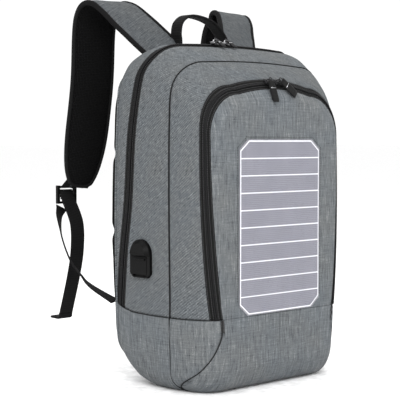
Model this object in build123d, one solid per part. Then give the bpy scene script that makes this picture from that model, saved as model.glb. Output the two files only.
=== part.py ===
from build123d import *
import math
import os

# Solar backpack. Millimetres. +X runs to the right as the front (solar) face is looked at,
# +Y from that face to the wearer's back, +Z up, and z = 0 is the base.

os.makedirs("parts", exist_ok=True)

# ---------------------------------------------------------------- driving dimensions
# Outer skin across the depth: y, half width, bottom, top, top corner radius, crown of the top,
# narrowing at the foot, narrowing at the shoulder, height where it is widest, foot radius
BODY = [
    (-95.0, 118.0, 36.0, 400.0, 52.0, 9.0, 11.0, 1.0, 290.0, 30.0),
    (-92.0, 126.0, 24.0, 408.0, 56.0, 9.0, 11.0, 1.0, 290.0, 30.0),
    (-88.0, 131.0, 14.0, 414.0, 59.0, 9.0, 11.0, 1.0, 290.0, 30.0),
    (-83.0, 135.0, 8.0, 419.5, 60.0, 9.0, 11.0, 1.0, 290.0, 30.0),
    (-77.0, 139.0, 3.5, 425.5, 60.0, 9.0, 11.0, 1.0, 290.0, 30.0),
    (-62.0, 145.5, 0.0, 440.0, 55.0, 6.0, 9.0, 1.0, 290.0, 30.0),
    (-45.0, 149.5, 0.0, 454.0, 50.0, 4.0, 7.0, 1.0, 290.0, 30.0),
    (-20.0, 151.0, 0.0, 471.0, 50.0, 3.0, 5.5, 1.0, 290.0, 30.0),
    (0.0, 151.5, 0.0, 479.0, 50.0, 3.0, 5.0, 1.0, 290.0, 31.0),
    (25.0, 151.0, 0.0, 480.0, 49.0, 3.0, 5.0, 1.5, 280.0, 33.0),
    (50.0, 150.0, 4.0, 474.0, 44.0, 3.0, 5.0, 3.0, 255.0, 37.0),
    (68.0, 149.5, 14.0, 465.0, 37.0, 3.0, 5.0, 4.5, 230.0, 40.0),
    (84.0, 148.5, 30.0, 446.0, 34.0, 3.0, 4.0, 6.0, 210.0, 40.0),
    (92.0, 146.0, 46.0, 424.0, 34.0, 3.0, 4.0, 7.0, 210.0, 38.0),
    (96.0, 141.0, 58.0, 408.0, 34.0, 3.0, 4.0, 7.0, 210.0, 36.0),
    (98.5, 133.0, 72.0, 392.0, 32.0, 3.0, 4.0, 7.0, 210.0, 34.0),
]
SKIN = 4.0              # fabric, foam and lining together
BACK_FOAM = 18.5        # thickness of the back panel
GAP = 0.3               # running gap between bodies

BACK = BODY[-1][0]
FRONT = BODY[0][0]
INSIDE_FRONT = -84.0
INSIDE_BACK = BACK - BACK_FOAM

# Sewn lines in the side view (y, z)
BOOT_SEAM = [(-110.0, 103.0), (30.0, 103.0), (60.0, 106.0), (78.0, 111.0), (102.0, 126.0)]
MAIN_ZIP = [(78.0, 96.0), (76.0, 113.0), (67.0, 188.0), (56.0, 260.0), (48.5, 358.0), (34.0, 427.0),
            (16.0, 462.0), (0.0, 481.0), (-10.0, 500.0)]
SECTION_SEAM = [(-27.0, 90.0), (-29.0, 150.0), (-30.0, 360.0), (-33.0, 413.0), (-45.0, 455.0),
                (-60.0, 490.0)]
POCKET_ZIP = [(-89.0, 90.0), (-88.0, 103.0), (-83.0, 264.0), (-81.0, 360.0), (-80.0, 425.0),
              (-79.0, 470.0)]
MAIN_TAPE = 9.0         # half width of the main zip
POCKET_TAPE = 9.0       # half width of the front pocket's zip
TAPE_DEPTH = 3.0        # how deep the pocket's zip goes into the skin
SPAN = 200.0            # half length of a cutter that runs right across the body
AHEAD, BEHIND, BELOW, ABOVE = -120.0, 120.0, -20.0, 560.0   # how far cutters reach past the body

POCKET_HINGE_Z = 104.0  # fold of the pocket's flap, just above the front end of the boot's seam
LOWER_PANEL_BACK = -83.6
LOWER_PANEL_FOOT = 8.0

# Solar panel
CELL_PANEL_W, CELL_PANEL_H = 164.0, 240.0
CELL_PANEL_FOOT = 105.0
CELL_PANEL_CHAMFER_X, CELL_PANEL_CHAMFER_Z = 16.0, 13.0
CELL_STRIPS = 10
CELL_GAP = 1.6
CELL_BORDER = 3.0
BACKING_T, CELL_T, COVER_T = 1.2, 0.4, 0.6
PANEL_BACK_Y = FRONT - 0.2

# Zip sliders and pulls
SLIDER_L, SLIDER_W, SLIDER_H = 13.0, 10.0, 5.0
MAIN_SLIDERS = {"left": -34.0, "right": -12.0}
POCKET_SLIDERS = {"left": -12.0, "right": 8.0}
MAIN_SLIDER_Z = 482.2
MAIN_PULL_PIVOT = (-1.5, 489.5)
POCKET_SLIDER_Y, POCKET_SLIDER_Z = -82.2, 425.4
POCKET_PULL_PIVOT = (-88.2, 430.4)

# Charging port on the left side
PORT_Y, PORT_Z = 23.0, 181.0
PORT_W, PORT_H = 41.0, 53.0
PORT_FACE_X = -151.6    # back of the port's base plate, on the skin
PORT_BASE_T = 5.0
PORT_HOOD = 6.0
SOCKET_W, SOCKET_H, SOCKET_D = 14.0, 7.0, 16.0

# Carrying gear, left side; the right side is its mirror image
PAD_WIDTH, PAD_T = 66.0, 12.0
PAD_LINE = [(-84.0, 68.0, 482.0), (-104.0, 92.0, 511.0), (-119.0, 113.0, 532.0), (-127.0, 133.0, 539.0),
            (-127.0, 150.0, 527.0), (-125.5, 159.0, 500.0), (-124.0, 165.0, 430.0), (-128.0, 172.0, 360.0),
            (-134.0, 177.0, 305.0), (-137.0, 180.0, 274.0)]
WEBBING_W, WEBBING_T = 25.0, 1.8
TAIL_LINE = [(-141.0, 199.5, 253.0), (-132.0, 193.0, 220.0), (-129.0, 196.0, 180.0), (-130.0, 204.0, 140.0),
             (-130.0, 224.0, 80.0)]
TETHER_LINE = [(-139.0, 103.0, 112.0), (-146.0, 140.0, 131.0), (-150.0, 161.0, 147.0), (-154.0, 181.0, 168.0),
               (-155.0, 199.0, 200.0), (-150.0, 212.5, 229.0), (-143.0, 215.8, 244.0)]
LADDER_AT = (-142.0, 205.0, 262.0)
HANDLE_LINE = [(-50.0, 62.0, 489.6), (-51.0, 62.0, 499.0), (-47.0, 62.0, 514.0), (-32.0, 62.0, 524.0),
               (-8.0, 62.0, 524.0), (18.0, 62.0, 517.0), (38.0, 62.0, 501.0), (43.5, 62.0, 489.6)]
HANDLE_W, HANDLE_T = 22.0, 4.0


# ---------------------------------------------------------------- helpers
def save(shape, name):
    """Write one sub-part."""
    export_step(shape, f"parts/{name}.step")


def mirrored(shape):
    """The same piece on the wearer's other side."""
    return mirror(shape, about=Plane.YZ)


def body_at(y):
    """The skin's measures at depth y, in the order of BODY's columns."""
    for near, far in zip(BODY, BODY[1:]):
        if y <= far[0]:
            break
    share = (y - near[0]) / (far[0] - near[0])
    return [a + (b - a) * share for a, b in zip(near[1:], far[1:])]


def outline(y, inset=0.0):
    """Closed front-view outline of the body at depth y, drawn inside the skin by inset."""
    half, low, high, corner, crown, foot_taper, top_taper, widest, foot_radius = body_at(y)
    half, low, high = half - inset, low + inset, high - inset
    foot = half - foot_taper
    upper_half = half - top_taper
    shoulder = high - crown - corner
    leg = math.sqrt(0.5)

    def point(x, z):
        return Vector(x, y, z)

    def side(sign):
        return [
            ThreePointArc(point(sign * (foot - foot_radius), low),
                          point(sign * (foot - foot_radius * (1 - leg)), low + foot_radius * (1 - leg)),
                          point(sign * foot, low + foot_radius)),
            ThreePointArc(point(sign * foot, low + foot_radius), point(sign * half, widest),
                          point(sign * upper_half, shoulder)),
            ThreePointArc(point(sign * upper_half, shoulder),
                          point(sign * (upper_half - corner * (1 - leg)), shoulder + corner * leg),
                          point(sign * (upper_half - corner), shoulder + corner)),
        ]

    top_end = upper_half - corner
    right, left = side(1), side(-1)
    return Wire([
        Line(point(-(foot - foot_radius), low), point(foot - foot_radius, low)), *right,
        ThreePointArc(point(top_end, shoulder + corner), point(0, high), point(-top_end, shoulder + corner)),
        *reversed(left),
    ])


def lofted(stations, inset):
    """Solid through the body's outlines at the given depths."""
    return Solid.make_loft([outline(y, inset) for y in stations], ruled=True)


def across(points):
    """Prism right across the body whose side view is the given outline of (y, z) points."""
    face = make_face(Polyline(*[(-SPAN, y, z) for y, z in points], close=True))
    return extrude(face, amount=2 * SPAN, dir=(1, 0, 0))


def slab(y_from, y_to, z_from=BELOW, z_to=ABOVE):
    """Everything between two depths and two heights."""
    return across([(y_from, z_from), (y_to, z_from), (y_to, z_to), (y_from, z_to)])


def band(line, start, end):
    """Region between a seam line moved back by start and the same line moved back by end."""
    near = Spline(*[(-SPAN, y + start, z) for y, z in line])
    far = Spline(*[(-SPAN, y + end, z) for y, z in line])
    face = make_face(Curve() + [near, Line(near @ 1, far @ 1), far, Line(near @ 0, far @ 0)])
    return extrude(face, amount=2 * SPAN, dir=(1, 0, 0))


def above_boot(clearance):
    """Everything above the boot's seam, starting clearance higher."""
    seam = [(y, z + clearance) for y, z in BOOT_SEAM]
    return across(seam + [(seam[-1][0], ABOVE), (seam[0][0], ABOVE)])


def below_boot():
    """Everything below the boot's seam."""
    return across(BOOT_SEAM + [(BOOT_SEAM[-1][0], BELOW), (BOOT_SEAM[0][0], BELOW)])


def ribbon(points, width, thickness, across_dir=(1, 0, 0), stations=18, taper_end=1.0, taper_from=0.8):
    """Flat band along a smooth line, its width narrowing to taper_end past taper_from."""
    line = Spline(*points)
    frames = []
    for index in range(stations + 1):
        t = index / stations
        along = (line % t).normalized()
        side = Vector(*across_dir)
        side = (side - along * along.dot(side)).normalized()
        normal = side.cross(along).normalized()
        narrowing = max(0.0, (t - taper_from) / (1 - taper_from))
        half = width / 2 * (1 - (1 - taper_end) * narrowing)
        centre = line @ t
        corners = [centre + side * half * a + normal * thickness / 2 * b
                   for a, b in ((-1, -1), (1, -1), (1, 1), (-1, 1))]
        frames.append(Wire.make_polygon(corners, close=True))
    return Solid.make_loft(frames, ruled=True)


def rounded_plate(width, height, radius, y_from, y_to, z_foot, x_centre=0.0):
    """Upright plate with rounded corners, between two depths."""
    place = Plane.XZ.offset(-y_to) * Pos(x_centre, z_foot + height / 2)
    return extrude(place * RectangleRounded(width, height, radius), amount=y_to - y_from)


def block(x0, x1, y0, y1, z0, z1):
    """Box between opposite corners."""
    return Pos((x0 + x1) / 2, (y0 + y1) / 2, (z0 + z1) / 2) * Box(x1 - x0, y1 - y0, z1 - z0)


# ---------------------------------------------------------------- body shell
stations = [row[0] for row in BODY]
inner_stations = [INSIDE_FRONT] + [y for y in stations if INSIDE_FRONT < y < INSIDE_BACK] + [INSIDE_BACK]
outer = lofted(stations, 0.0)
inner = lofted(inner_stations, SKIN)
shell = outer - inner
upper = above_boot(0.0)
upper_clear = above_boot(GAP)
ahead_of_back = slab(AHEAD, INSIDE_BACK)


# ---------------------------------------------------------------- rear body
def make_back_panel():
    """Foam back panel that lies on the wearer's back."""
    return outer & slab(INSIDE_BACK, BEHIND) & upper


def make_rear_gusset():
    """Narrow side and top wall between the back panel and the main zip."""
    return shell & band(MAIN_ZIP, MAIN_TAPE, 90.0) & ahead_of_back & upper


def make_main_tape(front):
    """Half of the main zip, woven tape with its coil along the edge."""
    reach = (-MAIN_TAPE, -GAP / 2) if front else (GAP / 2, MAIN_TAPE)
    return shell & band(MAIN_ZIP, *reach) & (upper_clear if front else upper) & ahead_of_back


def make_boot():
    """Bottom of the bag with its upturned sides, sewn to everything above at the boot seam."""
    return shell & below_boot() & slab(LOWER_PANEL_BACK + GAP, BEHIND)


BOARD_W, BOARD_D, BOARD_T, BOARD_Y = 186.0, 74.0, 2.5, -18.0


def make_base_board():
    """Stiffener that keeps the bottom flat."""
    face = Pos(0, BOARD_Y) * RectangleRounded(BOARD_W, BOARD_D, 18)
    return Pos(0, 0, SKIN + 0.2) * extrude(face, amount=BOARD_T)


SHEET_W, SHEET_H, SHEET_FOOT = 246.0, 320.0, 96.0


def make_frame_sheet():
    """Plastic sheet that keeps the back panel from folding."""
    return rounded_plate(SHEET_W, SHEET_H, 30, INSIDE_BACK - 2.7, INSIDE_BACK - 0.2, SHEET_FOOT)


SLEEVE_BACK, SLEEVE_FRONT, SLEEVE_INNER = INSIDE_BACK - 2.9, 44.0, 50.0
SLEEVE_W, SLEEVE_H, SLEEVE_FOOT = 262.0, 262.0, 114.0
SLEEVE_SIDE, SLEEVE_BOTTOM = 6.0, 8.0      # padding round the laptop


def make_sleeve():
    """Padded laptop sleeve, open at its top."""
    outside = rounded_plate(SLEEVE_W, SLEEVE_H, 16, SLEEVE_FRONT, SLEEVE_BACK, SLEEVE_FOOT)
    inside = rounded_plate(SLEEVE_W - 2 * SLEEVE_SIDE, SLEEVE_H, 10, SLEEVE_INNER, SLEEVE_BACK + 1,
                           SLEEVE_FOOT + SLEEVE_BOTTOM)
    return outside - inside


def make_anchor():
    """Triangular fabric ear that holds the foot of a shoulder strap's webbing."""
    ear = Polyline((-146.0, 104.0), (-112.0, 104.0), (-126.0, 126.0), (-146.0, 126.0), close=True)
    return extrude(Plane.XZ.offset(-BACK - 0.2) * make_face(ear), amount=-2.4)


def make_tether():
    """Webbing from the ear up to the ladder lock."""
    return ribbon(TETHER_LINE, WEBBING_W * 0.8, WEBBING_T, across_dir=(0.86, 0.5, 0), stations=20)


# ---------------------------------------------------------------- front body
def make_main_gusset():
    """Wide side and top wall between the section seam and the main zip, cut for the port."""
    wall = shell & band(MAIN_ZIP, -220.0, -MAIN_TAPE) & band(SECTION_SEAM, 0.0, 220.0) & upper_clear
    cut = block(-170, -130, PORT_Y - 10.8, PORT_Y + 10.8, socket_z - 12.3, socket_z + 12.3)
    return wall - cut


def make_front_gusset():
    """Side and top wall of the front section, from the pocket's zip to the section seam."""
    wall = shell & band(SECTION_SEAM, -120.0, 0.0) & band(POCKET_ZIP, POCKET_TAPE, 120.0) & upper_clear
    return wall & slab(INSIDE_FRONT, 0.0)


def make_pocket_tape_outer():
    """Half of the pocket's zip sewn to the gusset."""
    ring = outer - lofted(stations, TAPE_DEPTH)
    return ring & band(POCKET_ZIP, GAP / 2, POCKET_TAPE) & upper_clear


def make_lower_panel():
    """Front face below the pocket, turned under at the base."""
    return outer & slab(AHEAD, LOWER_PANEL_BACK, LOWER_PANEL_FOOT, POCKET_HINGE_Z - 1.3)


DIVIDER_Y = -49.0       # back face of the pocket's inner wall
POCKET_FLOOR = 109.0
POCKET_FLOOR_FRONT = -83.0
DIVIDER_T = 2.5


def make_divider():
    """Fabric wall between the front pocket and the main room, with the pocket's floor."""
    room = lofted([POCKET_FLOOR_FRONT - 0.5, -77.0, -62.0, DIVIDER_Y + 1.0], SKIN + 0.05)
    profile = [(POCKET_FLOOR_FRONT, POCKET_FLOOR), (DIVIDER_Y, POCKET_FLOOR), (DIVIDER_Y, ABOVE),
               (DIVIDER_Y - DIVIDER_T, ABOVE), (DIVIDER_Y - DIVIDER_T, POCKET_FLOOR + DIVIDER_T),
               (POCKET_FLOOR_FRONT, POCKET_FLOOR + DIVIDER_T)]
    return room & across(profile)


BANK_X, BANK_Z, BANK_W, BANK_H, BANK_D = 10.0, 150.0, 84.0, 120.0, 24.0


def make_bank_pocket():
    """Open-topped pocket for a power bank, sewn to the divider."""
    outside = block(BANK_X - BANK_W / 2 - 2, BANK_X + BANK_W / 2 + 2, DIVIDER_Y + 0.05,
                    DIVIDER_Y + BANK_D + 2, BANK_Z - 2, BANK_Z + BANK_H)
    inside = block(BANK_X - BANK_W / 2, BANK_X + BANK_W / 2, DIVIDER_Y - 1, DIVIDER_Y + BANK_D,
                   BANK_Z, BANK_Z + BANK_H + 5)
    return outside - inside


def port_outline(grow=0.0):
    """Arched outline of the port: a round head over a straight-sided foot with cut corners."""
    half = PORT_W / 2 + grow
    foot = PORT_Z - PORT_H / 2 - grow
    spring = PORT_Z + PORT_H / 2 - PORT_W / 2
    cut = 6.0
    path = Polyline((PORT_Y - half, spring), (PORT_Y - half, foot + cut), (PORT_Y - half + cut, foot),
                    (PORT_Y + half - cut, foot), (PORT_Y + half, foot + cut), (PORT_Y + half, spring))
    head = ThreePointArc((PORT_Y - half, spring), (PORT_Y, spring + half), (PORT_Y + half, spring))
    return make_face(Curve() + [path, head])


COVER_W, COVER_H, PORT_COVER_T = 27.0, 24.0, 2.2
COVER_FOOT = PORT_Z - PORT_H / 2 + 4.5


PORT_FRONT_X = PORT_FACE_X - PORT_BASE_T
socket_z = COVER_FOOT + COVER_H / 2 + 1


def socket_bore(x_from, x_to):
    """Clearance for the socket through the port's housing."""
    half, rise = SOCKET_W / 2 + 0.1, SOCKET_H / 2 + 0.1
    return block(x_from, x_to, PORT_Y - half, PORT_Y + half, socket_z - rise, socket_z + rise)


def make_port_bezel():
    """Moulded outer shell of the port: base plate with a hood over its upper half."""
    base = extrude(Plane.YZ.offset(PORT_FACE_X) * port_outline(), amount=-PORT_BASE_T)
    spring = PORT_Z + PORT_H / 2 - PORT_W / 2
    arch = Pos(PORT_Y, spring) * Circle(PORT_W / 2 - 1.5)
    upper_half = Pos(PORT_Y, spring - 3.4 + 25) * Rectangle(60, 50)
    hood = extrude(Plane.YZ.offset(PORT_FRONT_X) * (arch & upper_half), amount=-PORT_HOOD, taper=35)
    recess = block(PORT_FRONT_X - 1, PORT_FRONT_X + PORT_COVER_T + 0.4, PORT_Y - COVER_W / 2 - 0.5,
                   PORT_Y + COVER_W / 2 + 0.5, COVER_FOOT - PORT_COVER_T - 0.6, COVER_FOOT + COVER_H + 0.4)
    return base + hood - recess - socket_bore(PORT_FRONT_X - 1, PORT_FACE_X + 1)


def make_port_cup():
    """Inner half of the port's housing, clamped behind the fabric."""
    x0 = PORT_FACE_X
    neck = block(x0 + 0.1, x0 + 6.6, PORT_Y - 10.5, PORT_Y + 10.5, socket_z - 12, socket_z + 12)
    flange = block(x0 + 6.6, x0 + 8.4, PORT_Y - 17, PORT_Y + 17, socket_z - 17, socket_z + 17)
    back = block(x0 + 8.4, x0 + 20, PORT_Y - 12, PORT_Y + 12, socket_z - 10, socket_z + 10)
    return neck + flange + back - socket_bore(x0 - 1, x0 + 14)


def make_port_socket():
    """Metal USB-A socket shell, mouth outwards."""
    x0 = PORT_FRONT_X + PORT_COVER_T + 0.8
    half, rise, wall = SOCKET_W / 2, SOCKET_H / 2, 0.6
    outside = block(x0, x0 + SOCKET_D, PORT_Y - half, PORT_Y + half, socket_z - rise, socket_z + rise)
    inside = block(x0 - 1, x0 + SOCKET_D - 2, PORT_Y - half + wall, PORT_Y + half - wall,
                   socket_z - rise + wall, socket_z + rise - wall)
    return outside - inside


def make_port_tongue():
    """Plastic contact tongue inside the socket."""
    x0 = PORT_FRONT_X + PORT_COVER_T + 0.8
    return block(x0 + 1.5, x0 + SOCKET_D - 2, PORT_Y - 5.6, PORT_Y + 5.6, socket_z + 0.3, socket_z + 2.2)


def make_port_cover():
    """Rubber dust cover that swings down about its foot."""
    outer_x = PORT_FRONT_X - 0.3
    plate = block(outer_x, outer_x + PORT_COVER_T, PORT_Y - COVER_W / 2, PORT_Y + COVER_W / 2,
                  COVER_FOOT, COVER_FOOT + COVER_H)
    ridge = block(outer_x - 1.5, outer_x, PORT_Y - COVER_W / 2 + 3, PORT_Y + COVER_W / 2 - 3,
                  COVER_FOOT + COVER_H - 4.5, COVER_FOOT + COVER_H - 2)
    return plate + ridge


LEAD_D = 4.6
LEAD_LINE = [(PORT_FACE_X + 20.0, PORT_Y, socket_z), (-98.0, PORT_Y, socket_z), (-92.0, -4.0, 202.0),
             (-80.0, -31.0, 236.0), (-58.0, -39.0, 272.0), (-34.0, -37.0, 290.0), (-15.0, -36.0, 274.0),
             (-12.0, -36.0, 250.0)]


def make_lead():
    """Extension lead from the port to the power bank's pocket."""
    points = [Vector(*p) for p in LEAD_LINE]
    radii = []
    for before, here, after in zip(points, points[1:], points[2:]):
        turn = math.radians((here - before).get_angle(after - here))
        shorter = min((here - before).length, (after - here).length)
        radii.append(0.45 * shorter / math.tan(turn / 2))
    print("lead radii", [round(radius, 1) for radius in radii])
    path = FilletPolyline(*points, radius=radii)
    start = Plane(origin=points[0], z_dir=points[1] - points[0])
    tube = sweep(start * Circle(LEAD_D / 2), path=path)
    print("lead volume against section times length",
          round(tube.volume / (math.pi * LEAD_D ** 2 / 4 * path.length), 3))
    return tube


def make_lead_plug():
    """Plug at the end of the lead, standing in the power bank's pocket."""
    end, before = Vector(*LEAD_LINE[-1]), Vector(*LEAD_LINE[-2])
    face = Plane(origin=end, z_dir=end - before, x_dir=(1, 0, 0))
    grip = extrude(face * RectangleRounded(15, 8, 2), amount=24)
    tip = extrude(face.offset(24) * Rectangle(12, 4.6), amount=12)
    return grip + tip


def make_lead_gland():
    """Strain relief where the lead leaves the port's housing."""
    start, after = Vector(*LEAD_LINE[0]), Vector(*LEAD_LINE[1])
    mouth = Plane(origin=start, z_dir=start - after)
    outside = extrude(mouth.offset(-10) * Circle(4.2), amount=9.8)
    hole = extrude(mouth.offset(-11) * Circle(LEAD_D / 2 + 0.02), amount=12)
    return outside - hole


# ---------------------------------------------------------------- front pocket's flap
ahead_of_zip = band(POCKET_ZIP, -60.0, -GAP / 2)
flap_block = outer & ahead_of_zip & slab(AHEAD, 0.0, POCKET_HINGE_Z)
flap_core = lofted(stations, TAPE_DEPTH) & ahead_of_zip & slab(AHEAD, 0.0, POCKET_HINGE_Z + 0.5)


def make_pocket_tape_flap():
    """Half of the pocket's zip sewn round the flap's edge."""
    return (flap_block - flap_core) & band(POCKET_ZIP, -POCKET_TAPE, 0.0) & slab(AHEAD, 0, POCKET_HINGE_Z + 1)


def make_flap(tape):
    """Padded flap that carries the solar panel."""
    return flap_block - tape


def panel_face(grow=0.0):
    """Outline of the solar panel in its own plane, corners cut."""
    half, height = CELL_PANEL_W / 2 + grow, CELL_PANEL_H + 2 * grow
    foot = CELL_PANEL_FOOT - grow
    dx, dz = CELL_PANEL_CHAMFER_X, CELL_PANEL_CHAMFER_Z
    corners = [(-half + dx, foot), (half - dx, foot), (half, foot + dz), (half, foot + height - dz),
               (half - dx, foot + height), (-half + dx, foot + height), (-half, foot + height - dz),
               (-half, foot + dz)]
    return make_face(Polyline(*corners, close=True))


def panel_layer(y, thickness, face):
    """Layer of the panel whose back lies at depth y."""
    return extrude(Plane.XZ.offset(-y) * face, amount=thickness)


def make_cells():
    """Cell strips side by side, their outer corners cut with the panel's."""
    pitch = (CELL_PANEL_H - 2 * CELL_BORDER + CELL_GAP) / CELL_STRIPS
    layer = panel_layer(PANEL_BACK_Y - BACKING_T, CELL_T, panel_face(-CELL_BORDER))
    strips = []
    for index in range(CELL_STRIPS):
        foot = CELL_PANEL_FOOT + CELL_BORDER + index * pitch
        strips.append(layer & slab(AHEAD, 0.0, foot, foot + pitch - CELL_GAP))
    return Compound(children=strips)


def make_cover_sheet():
    """Clear sheet laminated over the cells, its rim down on the backing."""
    face_y = PANEL_BACK_Y - BACKING_T - 0.02
    sheet = panel_layer(face_y, CELL_T + COVER_T, panel_face(-0.4))
    pocket = panel_layer(face_y + 0.1, CELL_T + 0.12, panel_face(-CELL_BORDER + 0.3))
    return sheet - pocket


REGULATOR_Z, REGULATOR_Y = 130.0, -78.5


def make_regulator_case():
    """Box behind the panel with the charge regulator's open front."""
    outside = block(-34, 34, REGULATOR_Y, REGULATOR_Y + 12, REGULATOR_Z, REGULATOR_Z + 42)
    inside = block(-32, 32, REGULATOR_Y + 2, REGULATOR_Y + 13, REGULATOR_Z + 2, REGULATOR_Z + 40)
    outlet = block(31, 35, REGULATOR_Y + 3, REGULATOR_Y + 10.2, REGULATOR_Z + 13, REGULATOR_Z + 29)
    return outside - inside - outlet


def make_regulator_lid():
    """Lid of the regulator's box."""
    plate = block(-34, 34, REGULATOR_Y + 12.02, REGULATOR_Y + 14, REGULATOR_Z, REGULATOR_Z + 42)
    for x, z in screw_places():
        plate -= Plane.XZ.offset(-(REGULATOR_Y + 14.1)) * Pos(x, z) * extrude(Circle(1.3), amount=3)
    return plate


def screw_places():
    """Corners of the regulator's lid where its screws sit."""
    return [(x, z) for x in (-29.5, 29.5) for z in (REGULATOR_Z + 4.5, REGULATOR_Z + 37.5)]


def make_regulator_screws():
    """Four small screws through the lid."""
    screws = []
    for x, z in screw_places():
        shank = Plane.XZ.offset(-(REGULATOR_Y + 14.05)) * Pos(x, z) * extrude(Circle(1.1), amount=6)
        head = Plane.XZ.offset(-(REGULATOR_Y + 15.25)) * Pos(x, z) * extrude(Circle(2.1), amount=1.2)
        screws.append(shank + head)
    return Compound(children=screws)


def make_regulator_board():
    """Circuit board on the box's floor."""
    return block(-31, 28, REGULATOR_Y + 2.1, REGULATOR_Y + 3.6, REGULATOR_Z + 8, REGULATOR_Z + 34)


def make_regulator_socket():
    """USB-A outlet of the regulator, mouth to the side."""
    outside = block(20, 35, REGULATOR_Y + 3.7, REGULATOR_Y + 9.7, REGULATOR_Z + 14, REGULATOR_Z + 28)
    inside = block(22, 36, REGULATOR_Y + 4.3, REGULATOR_Y + 9.1, REGULATOR_Z + 14.6, REGULATOR_Z + 27.4)
    return outside - inside


# ---------------------------------------------------------------- sliders and pulls
def make_slider(x, y, z, facing):
    """Zip slider body with its bridge; facing is the direction its bridge stands out."""
    body = Box(SLIDER_L, SLIDER_W, SLIDER_H - 2)
    bridge = Pos(0, 0, 3.1) * (Box(9, 2.4, 3.4) - Pos(0, 0, -0.6) * Box(5, 3, 2.2))
    turned = Plane(origin=(x, y, z), x_dir=(1, 0, 0), z_dir=facing) * (body + bridge)
    return turned


def pull_shape(length, width, lean=0.0):
    """Flat pull hanging down from its ring, in the XZ plane with its pivot at the origin."""
    ring = Circle(3.0) - Circle(1.9)
    neck = Pos(0, -4.8) * Rectangle(2.4, 4.4)
    tab = Pos(0, -6 - (length - 6) / 2) * RectangleRounded(width, length - 6, 2.0)
    flat = Rot(0, 0, lean) * (ring + neck + tab)
    return extrude(Plane.XZ.offset(-0.8) * flat, amount=1.6)


# ---------------------------------------------------------------- carrying gear
def make_pad():
    """Padded shoulder strap."""
    return ribbon(PAD_LINE, PAD_WIDTH, PAD_T, across_dir=(0.99, -0.14, 0), stations=26, taper_end=0.42,
                  taper_from=0.84)


def make_ladder_lock():
    """Ladder lock: two side rails, three cross bars and a raised thumb lip."""
    x, y, z = LADDER_AT
    rails = [block(x + side * 15.5 - 2, x + side * 15.5 + 2, y - 2.6, y + 2.6, z - 12, z + 15)
             for side in (-1, 1)]
    bars = [block(x - 15, x + 15, y - 1.6, y + 1.6, z + low, z + low + 3.4) for low in (-12, -2.5, 11)]
    lip = block(x - 13, x + 13, y + 1, y + 6.5, z - 12, z - 9.6)
    lock = rails[0] + rails[1] + bars[0] + bars[1] + bars[2] + lip
    return lock


def make_pad_loop():
    """Short webbing sewn in the pad's end that holds the ladder lock's top bar."""
    x, y, z = LADDER_AT
    line = [(-137.0, 187.6, 292.0), (-138.5, 192.0, 285.0), (x, y - 4.4, z + 13.0)]
    return ribbon(line, WEBBING_W, WEBBING_T, stations=6)


def make_tail():
    """Free end of the webbing, below the ladder lock."""
    return ribbon(TAIL_LINE, WEBBING_W, WEBBING_T, stations=14)


def make_tail_fold():
    """Folded and sewn stop at the end of the webbing."""
    x, y, z = TAIL_LINE[-1]
    return block(x - WEBBING_W / 2, x + WEBBING_W / 2, y - 1.0, y + 21, z - 5.5, z - 1.2)


def make_handle():
    """Haul loop of folded webbing."""
    return ribbon(HANDLE_LINE, HANDLE_W, HANDLE_T, across_dir=(0, 1, 0), stations=28)


def make_handle_feet():
    """Lower ends of the haul loop, folded flat and sewn in at the back of the top."""
    feet = []
    for x in (HANDLE_LINE[0][0] + 1, HANDLE_LINE[-1][0] + 1.5):
        feet.append(block(x - 2, x + 2, 62 - HANDLE_W / 2, 62 + HANDLE_W / 2, 474.5, 488.8))
    return Compound(children=feet)


# ---------------------------------------------------------------- write every piece
save(make_back_panel(), "back_panel")
save(make_rear_gusset(), "rear_gusset")
save(make_main_tape(False), "main_zip_tape_rear")
save(make_boot(), "base_boot")
save(make_base_board(), "base_board")
save(make_frame_sheet(), "frame_sheet")
save(make_sleeve(), "laptop_sleeve")

save(make_main_gusset(), "main_gusset")
save(make_front_gusset(), "front_gusset")
save(make_main_tape(True), "main_zip_tape_front")
save(make_pocket_tape_outer(), "pocket_zip_tape_body")
save(make_lower_panel(), "lower_front_panel")
save(make_divider(), "pocket_divider")
save(make_bank_pocket(), "power_bank_pocket")
save(make_port_bezel(), "port_bezel")
save(make_port_cup(), "port_inner_housing")
save(make_port_socket(), "port_socket")
save(make_port_tongue(), "port_tongue")
save(make_port_cover(), "port_cover")
save(make_lead_gland(), "lead_gland")
save(make_lead(), "charge_lead")
save(make_lead_plug(), "charge_lead_plug")

pocket_tape = make_pocket_tape_flap()
save(pocket_tape, "pocket_zip_tape_flap")
save(make_flap(pocket_tape), "pocket_flap_panel")
save(panel_layer(PANEL_BACK_Y, BACKING_T, panel_face()), "solar_backing")
save(make_cells(), "solar_cells")
save(make_cover_sheet(), "solar_cover_sheet")
save(make_regulator_case(), "regulator_case")
save(make_regulator_lid(), "regulator_lid")
save(make_regulator_screws(), "regulator_screws")
save(make_regulator_board(), "regulator_board")
save(make_regulator_socket(), "regulator_socket")

for side, x in MAIN_SLIDERS.items():
    save(make_slider(x, -1.0, MAIN_SLIDER_Z, (0, -0.1, 1)), f"main_slider_{side}")
    save(Pos(x, *MAIN_PULL_PIVOT) * (Rot(-55, 0, 0) * pull_shape(22.0, 8.0)), f"main_pull_{side}")
for side, x in POCKET_SLIDERS.items():
    save(make_slider(x, POCKET_SLIDER_Y, POCKET_SLIDER_Z, (0, -0.72, 0.69)), f"pocket_slider_{side}")
    pull = Rot(-21, 0, 0) * pull_shape(32.0, 11.5, 48.0 if side == "right" else 0.0)
    save(Pos(x, *POCKET_PULL_PIVOT) * pull, f"pocket_pull_{side}")

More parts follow.
